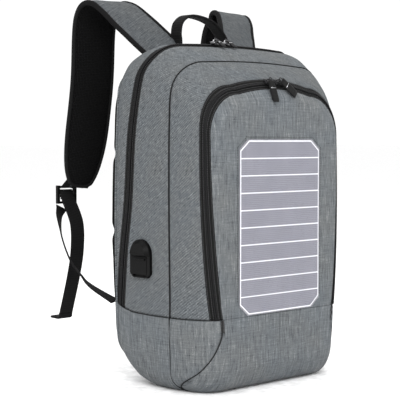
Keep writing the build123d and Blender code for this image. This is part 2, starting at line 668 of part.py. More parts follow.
save(make_handle(), "haul_handle")
save(make_handle_feet(), "handle_feet")
for side, turn in (("left", lambda shape: shape), ("right", mirrored)):
    save(turn(make_anchor()), f"webbing_anchor_{side}")
    save(turn(make_tether()), f"lower_webbing_{side}")
    save(turn(make_pad()), f"strap_pad_{side}")
    save(turn(make_pad_loop()), f"strap_loop_{side}")
    save(turn(make_ladder_lock()), f"ladder_lock_{side}")
    save(turn(make_tail()), f"webbing_tail_{side}")
    save(turn(make_tail_fold()), f"webbing_stop_{side}")
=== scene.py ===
import math

import bmesh
import bpy
import numpy as np
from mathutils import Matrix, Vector


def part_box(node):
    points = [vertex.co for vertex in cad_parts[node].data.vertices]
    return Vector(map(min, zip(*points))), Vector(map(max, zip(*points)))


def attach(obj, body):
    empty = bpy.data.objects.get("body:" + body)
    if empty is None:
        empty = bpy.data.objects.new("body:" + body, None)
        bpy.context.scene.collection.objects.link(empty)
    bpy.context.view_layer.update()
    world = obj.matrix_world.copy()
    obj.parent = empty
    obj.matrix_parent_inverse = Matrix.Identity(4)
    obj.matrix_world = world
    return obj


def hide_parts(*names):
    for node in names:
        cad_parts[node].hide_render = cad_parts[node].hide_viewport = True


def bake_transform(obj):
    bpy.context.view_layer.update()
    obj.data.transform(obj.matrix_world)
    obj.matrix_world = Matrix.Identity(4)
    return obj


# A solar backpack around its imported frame. Shapes are worked out in millimetres and turned into
# metres when a mesh is made. X is across, +Y runs to the wearer's back, +Z is up.
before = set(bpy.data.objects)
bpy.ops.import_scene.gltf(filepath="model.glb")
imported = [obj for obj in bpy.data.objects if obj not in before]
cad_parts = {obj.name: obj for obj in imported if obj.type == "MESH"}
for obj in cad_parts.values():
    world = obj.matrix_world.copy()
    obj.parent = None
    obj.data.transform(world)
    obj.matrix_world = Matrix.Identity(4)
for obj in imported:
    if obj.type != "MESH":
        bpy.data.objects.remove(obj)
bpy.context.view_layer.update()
MM = 0.001

# ---------------------------------------------------------------- the body's skin
# The same stations as the CAD skin: y, half width, bottom, top, corner radius, crown of the top,
# narrowing at the foot, narrowing at the shoulder, height where it is widest, foot radius
BODY = np.array([
    (-95.0, 118.0, 36.0, 400.0, 52.0, 9.0, 11.0, 1.0, 290.0, 30.0),
    (-92.0, 126.0, 24.0, 408.0, 56.0, 9.0, 11.0, 1.0, 290.0, 30.0),
    (-88.0, 131.0, 14.0, 414.0, 59.0, 9.0, 11.0, 1.0, 290.0, 30.0),
    (-83.0, 135.0, 8.0, 419.5, 60.0, 9.0, 11.0, 1.0, 290.0, 30.0),
    (-77.0, 139.0, 3.5, 425.5, 60.0, 9.0, 11.0, 1.0, 290.0, 30.0),
    (-62.0, 145.5, 0.0, 440.0, 55.0, 6.0, 9.0, 1.0, 290.0, 30.0),
    (-45.0, 149.5, 0.0, 454.0, 50.0, 4.0, 7.0, 1.0, 290.0, 30.0),
    (-20.0, 151.0, 0.0, 471.0, 50.0, 3.0, 5.5, 1.0, 290.0, 30.0),
    (0.0, 151.5, 0.0, 479.0, 50.0, 3.0, 5.0, 1.0, 290.0, 31.0),
    (25.0, 151.0, 0.0, 480.0, 49.0, 3.0, 5.0, 1.5, 280.0, 33.0),
    (50.0, 150.0, 4.0, 474.0, 44.0, 3.0, 5.0, 3.0, 255.0, 37.0),
    (68.0, 149.5, 14.0, 465.0, 37.0, 3.0, 5.0, 4.5, 230.0, 40.0),
    (84.0, 148.5, 30.0, 446.0, 34.0, 3.0, 4.0, 6.0, 210.0, 40.0),
    (92.0, 146.0, 46.0, 424.0, 34.0, 3.0, 4.0, 7.0, 210.0, 38.0),
    (96.0, 141.0, 58.0, 408.0, 34.0, 3.0, 4.0, 7.0, 210.0, 36.0),
    (98.5, 133.0, 72.0, 392.0, 32.0, 3.0, 4.0, 7.0, 210.0, 34.0)])
FRONT, BACK = -95.0, 98.5
BACK_SEAM = 84.0

# Sewn lines in the side view (y, z), z rising
BOOT_SEAM = [(-110.0, 103.0), (30.0, 103.0), (60.0, 106.0), (78.0, 111.0), (102.0, 126.0)]
MAIN_ZIP = [(78.0, 96.0), (76.0, 113.0), (67.0, 188.0), (56.0, 260.0), (48.5, 358.0), (34.0, 427.0),
            (16.0, 462.0), (0.0, 481.0), (-10.0, 500.0)]
SECTION_SEAM = [(-27.0, 90.0), (-29.0, 150.0), (-30.0, 360.0), (-33.0, 413.0), (-45.0, 455.0),
                (-60.0, 490.0)]
POCKET_ZIP = [(-91.5, 90.0), (-91.0, 103.0), (-84.5, 264.0), (-82.0, 360.0), (-80.0, 425.0),
              (-79.0, 470.0)]
CORNER_SEAM = [(-34.0, 0.0), (-38.0, 10.0), (-66.0, 28.0), (-80.0, 43.0), (-88.0, 57.0), (-92.5, 73.0),
               (-94.6, 88.0), (-94.9, 110.0)]
ROUNDING = (-3.0, -1.5, 0.0, 1.5, 3.0)   # depths averaged to round the skin off at its stations
TAPE = 9.0              # half width of a zip
SEAM_SINK = 1.0         # how far fabric dips where it is sewn
CROWN_REACH, SINK_REACH = 14.0, 1.6         # how far from a seam its crown and its dip are felt
PUCKER_PITCH, PUCKER_REACH, PUCKER_START = 8.5, 6.0, 1.5
SLACK_REACH = 20.0      # how far from a seam the cloth lies loose
FAR_FROM_SEAMS = 99.0
CLOTH_FRAMES = 20
WELD = 0.05             # points closer than this become one before the cloth simulation

# Share of the way from a boot seam to the top centre, and to the bottom centre
SIDE_SHARE, CORNER_SHARE, TOP_SHARE = 0.325, 0.080, 0.095
LOW_SHARE, FOOT_SHARE, UNDER_SHARE = 0.16, 0.11, 0.23


def value(column, y):
    """Column of BODY at depth y, the corners between stations rounded off."""
    return sum(np.interp(y + step, BODY[:, 0], BODY[:, column]) for step in ROUNDING) / len(ROUNDING)


def smooth(points, count):
    """Points along a smooth curve through the given ones."""
    p = np.array(points, float)
    p = np.vstack([2 * p[0] - p[1], p, 2 * p[-1] - p[-2]])
    spans = len(p) - 3
    out = []
    for u in np.linspace(0, spans - 1e-9, count):
        i, f = int(u), u - int(u)
        a, b, c, d = p[i:i + 4]
        out.append(0.5 * (2 * b + (c - a) * f + (2 * a - 5 * b + 4 * c - d) * f ** 2
                          + (3 * b - 3 * c + d - a) * f ** 3))
    return np.array(out)


def boot_z(y):
    """Height of the boot's seam at depth y."""
    line = smooth(BOOT_SEAM, 60)
    return np.interp(y, line[:, 0], line[:, 1])


class Station:
    """The skin's measures at depth y; past the front and back faces it goes on over them, inwards."""

    def __init__(self, y):
        self.half, self.low, self.high, self.corner, self.crown = (value(c, y) for c in range(1, 6))
        beyond = np.maximum(FRONT - y, 0) + np.maximum(y - BACK, 0)
        self.half, self.low, self.high = self.half - beyond, self.low + beyond, self.high - beyond
        self.corner = np.maximum(self.corner - beyond, 4.0)
        self.foot_in, self.shoulder_in, self.widest, self.foot_radius = (value(c, y) for c in range(6, 10))
        self.seam = boot_z(y)
        self.shoulder = self.high - self.crown - self.corner
        self.foot = self.half - self.foot_in

    def side_x(self, z):
        """Half width of the side at height z: a shallow arc through foot, widest place and shoulder."""
        a, b, c = self.low + self.foot_radius, self.widest, self.shoulder
        at_foot = (z - b) * (z - c) / ((a - b) * (a - c))
        at_shoulder = (z - a) * (z - b) / ((c - a) * (c - b))
        return self.half - self.foot_in * at_foot - self.shoulder_in * at_shoulder


def upper(t, y):
    """Skin above the boot: t runs from the left seam (0) over the top (0.5) to the right seam (1)."""
    t, y = np.broadcast_arrays(np.asarray(t, float), np.asarray(y, float))
    at, s = Station(y), np.minimum(t, 1 - t)
    top_end = at.half - at.shoulder_in - at.corner
    z_side = at.seam + (at.shoulder - at.seam) * np.clip(s / SIDE_SHARE, 0, 1)
    turn = np.clip((s - SIDE_SHARE) / CORNER_SHARE, 0, 1) * math.pi / 2
    x_top = top_end * (1 - np.clip((s - SIDE_SHARE - CORNER_SHARE) / TOP_SHARE, 0, 1))
    on_side, on_corner = s < SIDE_SHARE, s < SIDE_SHARE + CORNER_SHARE
    x = np.where(on_side, at.side_x(z_side), np.where(on_corner, top_end + at.corner * np.cos(turn), x_top))
    z = np.where(on_side, z_side, np.where(on_corner, at.shoulder + at.corner * np.sin(turn),
                                           at.high - at.crown * (x_top / top_end) ** 2))
    return np.stack([np.where(t <= 0.5, -x, x), np.clip(y, FRONT, BACK), z], -1)


def lower(t, y):
    """Skin of the boot: t runs from the left seam (0) under the base (0.5) to the right seam (1)."""
    t, y = np.broadcast_arrays(np.asarray(t, float), np.asarray(y, float))
    at, s = Station(y), np.minimum(t, 1 - t)
    radius = at.foot_radius
    z_side = at.seam + (at.low + radius - at.seam) * np.clip(s / LOW_SHARE, 0, 1)
    turn = np.clip((s - LOW_SHARE) / FOOT_SHARE, 0, 1) * math.pi / 2
    x_under = (at.foot - radius) * (1 - np.clip((s - LOW_SHARE - FOOT_SHARE) / UNDER_SHARE, 0, 1))
    on_side, on_foot = s < LOW_SHARE, s < LOW_SHARE + FOOT_SHARE
    x_foot = at.foot - radius * (1 - np.cos(turn))
    x = np.where(on_side, at.side_x(z_side), np.where(on_foot, x_foot, x_under))
    z = np.where(on_side, z_side, np.where(on_foot, at.low + radius * (1 - np.sin(turn)), at.low))
    return np.stack([np.where(t <= 0.5, -x, x), np.clip(y, FRONT, BACK), z], -1)


def crossing(line, t, skin=upper):
    """Depth at which the skin meets a sewn line, for each t."""
    dense = smooth(line, 240)
    y = np.full(t.shape, dense[:, 0].mean())
    for _ in range(60):
        y = (y + np.interp(skin(t, y)[..., 2], dense[:, 1], dense[:, 0])) / 2
    return y


def shifted(t, y, distance, skin=upper):
    """Depth reached from y by going that far over the skin, towards the back if positive."""
    steps = 12
    for _ in range(steps):
        rate = np.linalg.norm(skin(t, y + 0.5) - skin(t, y - 0.5), axis=-1)
        y = y + distance / steps / rate
    return y


def strip(t, y_from, y_to, rows, skin=upper):
    """Grid of skin points between two depths."""
    share = np.linspace(0, 1, rows)[:, None]
    return skin(t[None], y_from[None] + (y_to - y_from)[None] * share)


def cap(ring, middle_z, rows):
    """Grid that closes a ring towards an upright line in the middle, and fans past the line's ends."""
    centre = ring.copy()
    centre[..., 0] = 0
    low, high = middle_z
    centre[..., 2] = np.clip(ring[..., 2], low, high)
    share = np.linspace(0, 1, rows)[:, None, None]
    return ring[None] * (1 - share) + centre[None] * share


def lengths(p, axis):
    """Distance run along an axis of a grid."""
    step = np.linalg.norm(np.diff(p, axis=axis), axis=-1)
    zero = np.zeros_like(step.take([0], axis))
    return np.concatenate([zero, np.cumsum(step, axis)], axis)


def normals(p, outward):
    """Unit normals of a grid, turned to the side of outward (an array or a point to point away from)."""
    n = np.cross(np.gradient(p, axis=0), np.gradient(p, axis=1))
    n /= np.linalg.norm(n, axis=-1, keepdims=True) + 1e-9
    sign = np.sign((n * (p - outward)).sum(-1, keepdims=True))
    sign[sign == 0] = 1
    return n * sign


MIDDLE = np.array([0.0, 0.0, 240.0])
SKEW = (0.31, 0.53, 0.79)      # a direction that no seam or wire runs in
waves = np.random.default_rng(7)
WAVES = [(waves.normal(0, 1, 3), waves.uniform(0, 6.28)) for _ in range(9)]


def undulation(p, size):
    """Soft waviness of cloth, about -1 to 1, with waves about as long as size."""
    total = sum(np.sin((p @ k) * (2 * math.pi / size) * 0.6 + phase) for k, phase in WAVES)
    return total / math.sqrt(len(WAVES))


def sewn(p, crown, pucker=0.30, edges=(True, True, True, True), loose=0.5):
    """Grid p as cloth sewn along its edges: it swells by crown, dips and puckers at the seams."""
    out = p.copy()
    n = normals(p, MIDDLE)
    across, along = lengths(p, 0), lengths(p, 1)
    distances = []
    for flag, d in zip(edges, (across, across[-1:] - across, along, along[:, -1:] - along)):
        if flag:
            distances.append(d)
    near = np.minimum.reduce(distances) if distances else np.full(p.shape[:2], FAR_FROM_SEAMS)
    swell = crown * (1 - np.exp(-near / CROWN_REACH)) - SEAM_SINK * np.exp(-near / SINK_REACH)
    fading = np.exp(-near / PUCKER_REACH) * (1 - np.exp(-near / PUCKER_START))
    ripple = np.sin(along * 2 * math.pi / PUCKER_PITCH + 2 * undulation(p, 60)) * fading
    slack = loose * undulation(p, 90) * (1 - np.exp(-near / SLACK_REACH))
    swell = swell + pucker * ripple + slack
    out += n * swell[..., None]
    return out


# ---------------------------------------------------------------- mesh making
def build(name, verts, faces, mats, uv=None, outward=None):
    """Mesh object from points in millimetres."""
    mesh = bpy.data.meshes.new(name)
    mesh.from_pydata((np.asarray(verts, float) * MM).tolist(), [], [list(map(int, f)) for f in faces])
    for mat in mats:
        mesh.materials.append(mat)
    if uv is not None:
        layer = mesh.uv_layers.new(name="UVMap")
        loops = np.zeros(len(mesh.loops), np.int32)
        mesh.loops.foreach_get("vertex_index", loops)
        layer.data.foreach_set("uv", (np.asarray(uv, float)[loops] * MM).astype(np.float32).ravel())
    mesh.polygons.foreach_set("use_smooth", np.ones(len(mesh.polygons), bool))
    if outward is not None:
        centre = np.array([f.center for f in mesh.polygons])
        direction = np.array([f.normal for f in mesh.polygons])
        if ((centre - np.asarray(outward) * MM) * direction).sum() < 0:
            mesh.flip_normals()
    mesh.validate()
    mesh.update()
    obj = bpy.data.objects.new(name, mesh)
    bpy.context.scene.collection.objects.link(obj)
    return obj


def grid_faces(rows, cols, wrap_rows=False, wrap_cols=False):
    """Quads of a rows x cols grid of points, numbered row by row."""
    r = np.arange(rows if wrap_rows else rows - 1)[:, None]
    c = np.arange(cols if wrap_cols else cols - 1)[None]
    a, b = r * cols + c, r * cols + (c + 1) % cols
    d, e = ((r + 1) % rows) * cols + c, ((r + 1) % rows) * cols + (c + 1) % cols
    return np.stack(np.broadcast_arrays(a, b, e, d), -1).reshape(-1, 4)


def settle(obj, slot, body, *nodes, **fold):
    """Give a piece its CAD body and hide the nodes it replaces; with a fold it only has its transform baked
    in. The slot is not used.
    """
    if fold:
        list(body)
        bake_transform(obj)
    else:
        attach(obj, body)
    if nodes:
        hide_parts(*nodes)
    return obj


def thicken(obj, thickness, inner):
    """Give a sheet its thickness, going inwards; its inner side is in the material that many slots on."""
    solid = obj.modifiers.new("thickness", "SOLIDIFY")
    solid.thickness, solid.offset = thickness * MM, -1.0
    solid.material_offset = inner
    solid.use_even_offset = False
    return obj


def orient(obj, up, cols):
    """Turn a grid's faces to the side that up points to; up has a vector for each of its rows."""
    normal = np.array([f.normal for f in obj.data.polygons]).reshape(len(up) - 1, cols - 1, 3).mean(1)
    if (normal * up[:-1]).sum() < 0:
        obj.data.flip_normals()


def sheet_piece(name, p, mats, thickness=2.4, uv=None, outward=MIDDLE, facing=None, stitched=None,
                pressure=0.0, limit=0.0):
    """Cloth panel from a grid of points; its outer side carries the first material."""
    rows, cols = p.shape[:2]
    if uv is None:
        uv = np.stack([lengths(p, 0), lengths(p, 1)], -1)
    obj = build(name, p.reshape(-1, 3), grid_faces(rows, cols), mats, uv.reshape(-1, 2), outward=outward)
    if facing is not None:
        orient(obj, facing, cols)
    if stitched is not None:
        inflate(obj, stitched.ravel(), pressure, limit)
    return thicken(obj, thickness, inner=len(mats) - 1)


def inflate(obj, stitched, pressure, limit):
    """Let a pad's cloth swell over its foam, held where stitched is 1; no point moves past limit."""
    scene, mesh = bpy.context.scene, obj.data
    group = obj.vertex_groups.new(name="stitched")
    for index, weight in enumerate(stitched):
        group.add([index], float(weight), "REPLACE")
    # Points that meet on a cap's middle line are welded: the cloth solver stands still on edges of no length
    shell = bmesh.new()
    shell.from_mesh(mesh)
    bmesh.ops.remove_doubles(shell, verts=shell.verts, dist=WELD * MM)
    shell.to_mesh(mesh)
    shell.free()
    cloth = obj.modifiers.new("cloth", "CLOTH")
    settings = cloth.settings
    settings.quality, settings.mass = 6, 0.25
    settings.tension_stiffness = settings.compression_stiffness = 12
    settings.shear_stiffness, settings.bending_stiffness = 6, 0.4
    settings.vertex_group_mass = "stitched"
    settings.use_pressure, settings.uniform_pressure_force = True, pressure
    settings.effector_weights.gravity = 0
    cloth.collision_settings.use_collision = False
    cloth.point_cache.frame_start, cloth.point_cache.frame_end = 1, CLOTH_FRAMES
    for step in range(1, CLOTH_FRAMES + 1):
        scene.frame_set(step)
    swollen = obj.evaluated_get(bpy.context.evaluated_depsgraph_get()).data
    before, after = np.zeros(3 * len(mesh.vertices)), np.zeros(3 * len(mesh.vertices))
    mesh.vertices.foreach_get("co", before)
    swollen.vertices.foreach_get("co", after)
    move = (after - before).reshape(-1, 3)
    far = np.linalg.norm(move, axis=1, keepdims=True)
    eased = limit * MM * np.tanh(far / (limit * MM)) / np.maximum(far, 1e-9)
    obj.modifiers.remove(cloth)
    mesh.vertices.foreach_set("co", before + (move * eased).ravel())
    mesh.update()
    scene.frame_set(1)
    print("swelled", obj.name, "by up to", round(float((far * eased).max()) * 1000, 1), "mm")


def frames(path, side):
    """Unit tangents, sides and normals along a path; side is a vector or one for each point."""
    tangent = np.gradient(path, axis=0)
    tangent /= np.linalg.norm(tangent, axis=1, keepdims=True)
    side = np.broadcast_to(np.asarray(side, float), path.shape)
    side = side - (side * tangent).sum(1, keepdims=True) * tangent
    side = side / np.linalg.norm(side, axis=1, keepdims=True)
    return tangent, side, np.cross(side, tangent)


def bar(path, side, section, scale, closed=False):
    """Points and faces of a bar along a path; section is a list of (side, normal) offsets."""
    _, across, up = frames(path, side)
    p = (path[:, None] + across[:, None] * (section[None, :, 0:1] * scale[:, None, 0:1])
         + up[:, None] * (section[None, :, 1:2] * scale[:, None, 1:2]))
    rows, cols = p.shape[:2]
    faces = [list(f) for f in grid_faces(rows, cols, wrap_rows=closed, wrap_cols=True)]
    if not closed:
        faces += [list(range(cols)), list(range((rows - 1) * cols, rows * cols))[::-1]]
    return p.reshape(-1, 3), faces


def swept(name, path, side, section, mat, closed=False, scale=None):
    """Bar along a path as an object, with the distance run along it in its UVs."""
    scale = np.ones((len(path), 2)) if scale is None else scale
    verts, faces = bar(path, side, section, scale, closed)
    run = lengths(path, 0)
    uv = np.stack(np.broadcast_arrays(section[None, :, 0] * scale[:, 0:1], run[:, None]), -1)
    obj = build(name, verts, faces, [mat], uv.reshape(-1, 2))
    fix_normals(obj)
    return obj


def fix_normals(obj):
    """Turn a closed mesh's faces outwards."""
    bm = bmesh.new()
    bm.from_mesh(obj.data)
    bmesh.ops.recalc_face_normals(bm, faces=bm.faces)
    bm.to_mesh(obj.data)
    bm.free()


def round_section(radius, count=10):
    """Circle as a section."""
    a = np.arange(count) * 2 * math.pi / count
    return np.stack([radius * np.cos(a), radius * np.sin(a)], -1)


def strap_section(width, thickness, count=6):
    """Flat band with rounded edges as a section."""
    r, half = thickness / 2, width / 2 - thickness / 2
    a = np.linspace(-math.pi / 2, math.pi / 2, count)
    right = np.stack([half + r * np.cos(a), r * np.sin(a)], -1)
    left = np.stack([-half - r * np.cos(a), -r * np.sin(a)], -1)
    top = np.stack([np.linspace(half, -half, 7)[1:-1], np.full(5, r)], -1)
    return np.vstack([right, top, left, -top])


# ---------------------------------------------------------------- materials
class Surface:
    """A node material in the making."""

    def __init__(self, name):
        self.mat = bpy.data.materials.new(name)
        self.mat.use_nodes = True
        self.tree = self.mat.node_tree
        self.shader = self.tree.nodes["Principled BSDF"]

    def node(self, kind, **settings):
        made = self.tree.nodes.new(kind)
        for key, setting in settings.items():
            setattr(made, key, setting)
        return made

    def put(self, socket, source):
        """Link a node's output to a socket, or set the socket to a plain value."""
        if isinstance(source, bpy.types.NodeSocket):
            self.tree.links.new(source, socket)
        else:
            socket.default_value = source

    def coords(self, scale, turn=0.0, kind="UV"):
        source = self.node("ShaderNodeTexCoord").outputs[kind]
        mapping = self.node("ShaderNodeMapping")
        self.put(mapping.inputs["Vector"], source)
        mapping.inputs["Scale"].default_value = scale
        if turn:
            first = self.node("ShaderNodeMapping")
            self.put(first.inputs["Vector"], source)
            first.inputs["Rotation"].default_value = (0, 0, math.radians(turn))
            self.put(mapping.inputs["Vector"], first.outputs[0])
        return mapping.outputs[0]

    def noise(self, vector, scale=1.0, detail=2.0, rough=0.5):
        made = self.node("ShaderNodeTexNoise")
        self.put(made.inputs["Vector"], vector)
        made.inputs["Scale"].default_value = scale
        made.inputs["Detail"].default_value = detail
        made.inputs["Roughness"].default_value = rough
        return made.outputs["Fac"]

    def bands(self, vector, scale, direction="X", kind="BANDS", distortion=0.0):
        made = self.node("ShaderNodeTexWave", wave_type=kind, bands_direction=direction)
        self.put(made.inputs["Vector"], vector)
        made.inputs["Scale"].default_value = scale
        made.inputs["Distortion"].default_value = distortion
        return made.outputs["Fac"]

    def math(self, operation, a, b=0.0):
        made = self.node("ShaderNodeMath", operation=operation)
        self.put(made.inputs[0], a)
        self.put(made.inputs[1], b)
        return made.outputs[0]

    def ramp(self, factor, *stops):
        made = self.node("ShaderNodeValToRGB")
        self.put(made.inputs[0], factor)
        elements = made.color_ramp.elements
        while len(elements) < len(stops):
            elements.new(0.5)
        for element, (position, colour) in zip(elements, stops):
            element.position = position
            element.color = (*colour, 1) if len(colour) == 3 else colour
        return made.outputs[0]

    def between(self, factor, low, high, start=0.3, end=0.7):
        """Grey value that goes from low to high as factor goes from start to end."""
        return self.ramp(factor, (start, (low,) * 3), (end, (high,) * 3))

    def mix(self, factor, a, b, blend="MIX"):
        made = self.node("ShaderNodeMix", data_type="RGBA", blend_type=blend)
        self.put(made.inputs[0], factor)
        self.put(made.inputs[6], a)
        self.put(made.inputs[7], b)
        return made.outputs[2]

    def bump(self, height, strength, distance):
        made = self.node("ShaderNodeBump")
        self.put(made.inputs["Height"], height)
        made.inputs["Strength"].default_value = strength
        made.inputs["Distance"].default_value = distance
        self.put(self.shader.inputs["Normal"], made.outputs[0])

    def done(self, colour, roughness, **shader):
        self.put(self.shader.inputs["Base Color"], colour)
        self.put(self.shader.inputs["Roughness"], roughness)
        for key, setting in shader.items():
            self.put(self.shader.inputs[key.replace("_", " ")], setting)
        return self.mat


def grey(level, blue=1.05):
    """Slightly bluish grey."""
    return (level, level * (1 + (blue - 1) * 0.4), level * blue)


def melange(name, level, turn, streak, twill=0.0, contrast=1.0):
    """Two-tone woven polyester: pale and dark yarns mixed, in streaks along the warp, with a twill line."""
    s = Surface(name)
    warp = s.noise(s.coords((400, 400 / streak, 1), turn), 1.0, 4, 0.75)
    weft = s.noise(s.coords((400 / streak, 520, 1), turn), 1.0, 3, 0.7)
    speck = s.noise(s.coords((800, 800, 1), turn), 1.0, 2, 0.6)
    broad = s.noise(s.coords((14, 14, 1)), 1.0, 3, 0.5)
    rib = s.bands(s.coords((1, 1, 1), turn), 105, "X", distortion=2.5)
    blend = s.math("ADD", s.math("MULTIPLY", warp, 0.52 - twill / 2), s.math("MULTIPLY", weft, 0.24))
    blend = s.math("ADD", blend, s.math("MULTIPLY", speck, 0.24 - twill / 2))
    blend = s.math("ADD", blend, s.math("MULTIPLY", rib, twill))
    dark, pale = max(0.05, 1 - 0.62 * contrast), 1 + 0.85 * contrast
    tone = s.ramp(blend, (0.34, grey(level * dark, 1.02)), (0.46, grey(level * 0.88, 1.10)),
                  (0.54, grey(level * 1.12, 1.06)), (0.66, grey(level * pale, 1.0)))
    tint = s.ramp(broad, (0.3, (0.90, 0.97, 1.01)), (0.7, (1.0, 1.02, 1.0)))
    tone = s.mix(1.0, tone, tint, "MULTIPLY")
    threads = s.math("MULTIPLY", s.bands(s.coords((1, 1, 1), turn), 150, "X"),
                     s.bands(s.coords((1, 1, 1), turn), 150, "Y"))
    s.bump(s.math("ADD", threads, s.math("MULTIPLY", warp, 1.2)), 0.5, 0.0006)
    rough = s.between(speck, 0.8, 0.95, 0.2, 0.8)
    return s.done(tone, rough, Specular_IOR_Level=0.2)


def woven_black(name, level, pitch, ribs="Y", contrast=0.5):
    """Black webbing or tape with ribs across it, pitch in millimetres."""
    s = Surface(name)
    across = s.bands(s.coords((1, 1, 1)), 1000 / pitch / 6.28, ribs)
    fine = s.bands(s.coords((1, 1, 1)), 1000 / pitch / 3.0, "X" if ribs == "Y" else "Y")
    fuzz = s.noise(s.coords((420, 420, 1)), 1.0, 3, 0.6)
    height = s.math("ADD", s.math("MULTIPLY", across, 0.7), s.math("MULTIPLY", fine, 0.3))
    yarn = s.between(height, level * 0.45, level, 0.1, 0.9)
    tone = s.mix(s.math("MULTIPLY", fuzz, contrast), yarn, (level * 2.0, level * 2.0, level * 2.1, 1))
    s.bump(height, 0.5, 0.0005)
    return s.done(tone, s.between(fuzz, 0.7, 0.9), Specular_IOR_Level=0.08)


STITCH_ROWS = ((3.4, 0.32), (7.6, 0.28))     # distance from the coil and half width, in millimetres


def zip_tape(name, level):
    """Black zip tape with the line of paler stitches that holds its coil."""
    s = Surface(name)
    place = s.node("ShaderNodeSeparateXYZ")
    s.put(place.inputs[0], s.coords((1000, 1000, 1)))
    across, along = place.outputs[0], place.outputs[1]
    rows = [s.math("LESS_THAN", s.math("ABSOLUTE", s.math("SUBTRACT", across, place)), half)
            for place, half in STITCH_ROWS]
    dash = s.math("LESS_THAN", s.math("FRACT", s.math("MULTIPLY", along, 0.42)), 0.5)
    stitch = s.math("MULTIPLY", s.math("MAXIMUM", *rows), dash)
    ribs = s.bands(s.coords((1, 1, 1)), 260, "X")
    fuzz = s.noise(s.coords((500, 500, 1)), 1.0, 3, 0.6)
    yarn = s.math("ADD", s.math("MULTIPLY", ribs, 0.5), s.math("MULTIPLY", fuzz, 0.5))
    cloth = s.between(yarn, level * 0.5, level * 1.6, 0.25, 0.8)
    tone = s.mix(stitch, cloth, (0.085, 0.085, 0.088, 1))
    s.bump(s.math("ADD", s.math("MULTIPLY", ribs, 0.4), stitch), 0.5, 0.0004)
    return s.done(tone, s.between(fuzz, 0.7, 0.9), Specular_IOR_Level=0.08)


def mesh_fabric(name, level):
    """Black spacer mesh: a net of small round holes over darker foam."""
    s = Surface(name)
    cells = s.node("ShaderNodeTexVoronoi", feature="F1", voronoi_dimensions="2D")
    s.put(cells.inputs["Vector"], s.coords((1, 1, 1)))
    cells.inputs["Scale"].default_value = 420
    cells.inputs["Randomness"].default_value = 0.25
    hole = s.between(cells.outputs["Distance"], 0, 1, 0.28, 0.42)
    fuzz = s.noise(s.coords((500, 500, 1)), 1.0, 2, 0.6)
    net_tone = s.ramp(fuzz, (0.3, (level * 0.8,) * 3), (0.7, (level * 1.5, level * 1.5, level * 1.56)))
    tone = s.mix(hole, (level * 0.25, level * 0.25, level * 0.25, 1), net_tone)
    s.bump(s.math("ADD", hole, s.math("MULTIPLY", fuzz, 0.3)), 0.6, 0.0006)
    return s.done(tone, s.between(fuzz, 0.72, 0.9), Specular_IOR_Level=0.03)


def moulded(name, colour, roughness, grain=0.25, kind="Object", **more):
    """Moulded plastic or rubber with a fine grain and slightly uneven gloss."""
    s = Surface(name)
    fine = s.noise(s.coords((900, 900, 900), kind=kind), 1.0, 2, 0.5)
    broad = s.noise(s.coords((60, 60, 60), kind=kind), 1.0, 3, 0.6)
    tone = s.ramp(broad, (0.3, tuple(c * 0.85 for c in colour)), (0.7, tuple(c * 1.15 for c in colour)))
    s.bump(fine, grain, 0.0002)
    return s.done(tone, s.between(broad, roughness * 0.85, min(1, roughness * 1.15)), **more)


def metal(name, colour, roughness):
    """Plated metal with fine brushing."""
    s = Surface(name)
    brush = s.noise(s.coords((200, 3000, 3000), kind="Object"), 1.0, 2, 0.5)
    worn = s.noise(s.coords((300, 300, 300), kind="Object"), 1.0, 3, 0.6)
    tone = s.ramp(worn, (0.3, tuple(c * 0.8 for c in colour)), (0.75, tuple(c * 1.2 for c in colour)))
    s.bump(brush, 0.2, 0.0001)
    return s.done(tone, s.between(brush, roughness * 0.8, roughness * 1.2), Metallic=1.0)


FINGER_PITCH = 2.6          # spacing of the cells' silver lines, in millimetres
TRACE_WIDTH = 0.0016        # width of the white conductor, in metres


def solar_cell():
    """Lavender-grey cell strip with fine silver fingers running across and thin busbars."""
    s = Surface("solar_cell")
    place = s.coords((1, 1, 1), kind="Object")
    parts = s.node("ShaderNodeSeparateXYZ")
    s.put(parts.inputs[0], place)
    fingers = s.math("FRACT", s.math("MULTIPLY", parts.outputs[2], 1000 / FINGER_PITCH))
    line = s.math("LESS_THAN", fingers, 0.22)
    column = s.math("FRACT", s.math("MULTIPLY", parts.outputs[0], 1000 / FINGER_PITCH))
    upright = s.math("LESS_THAN", column, 0.16)
    broad = s.noise(s.coords((30, 30, 30), kind="Object"), 1.0, 3, 0.5)
    base = s.ramp(broad, (0.3, (0.100, 0.100, 0.128)), (0.7, (0.125, 0.125, 0.155)))
    tone = s.mix(s.math("MULTIPLY", s.math("MAXIMUM", line, upright), 0.5), base, (0.27, 0.27, 0.31, 1))
    s.bump(line, 0.1, 0.0001)
    return s.done(tone, s.between(broad, 0.34, 0.42), Specular_IOR_Level=0.4)


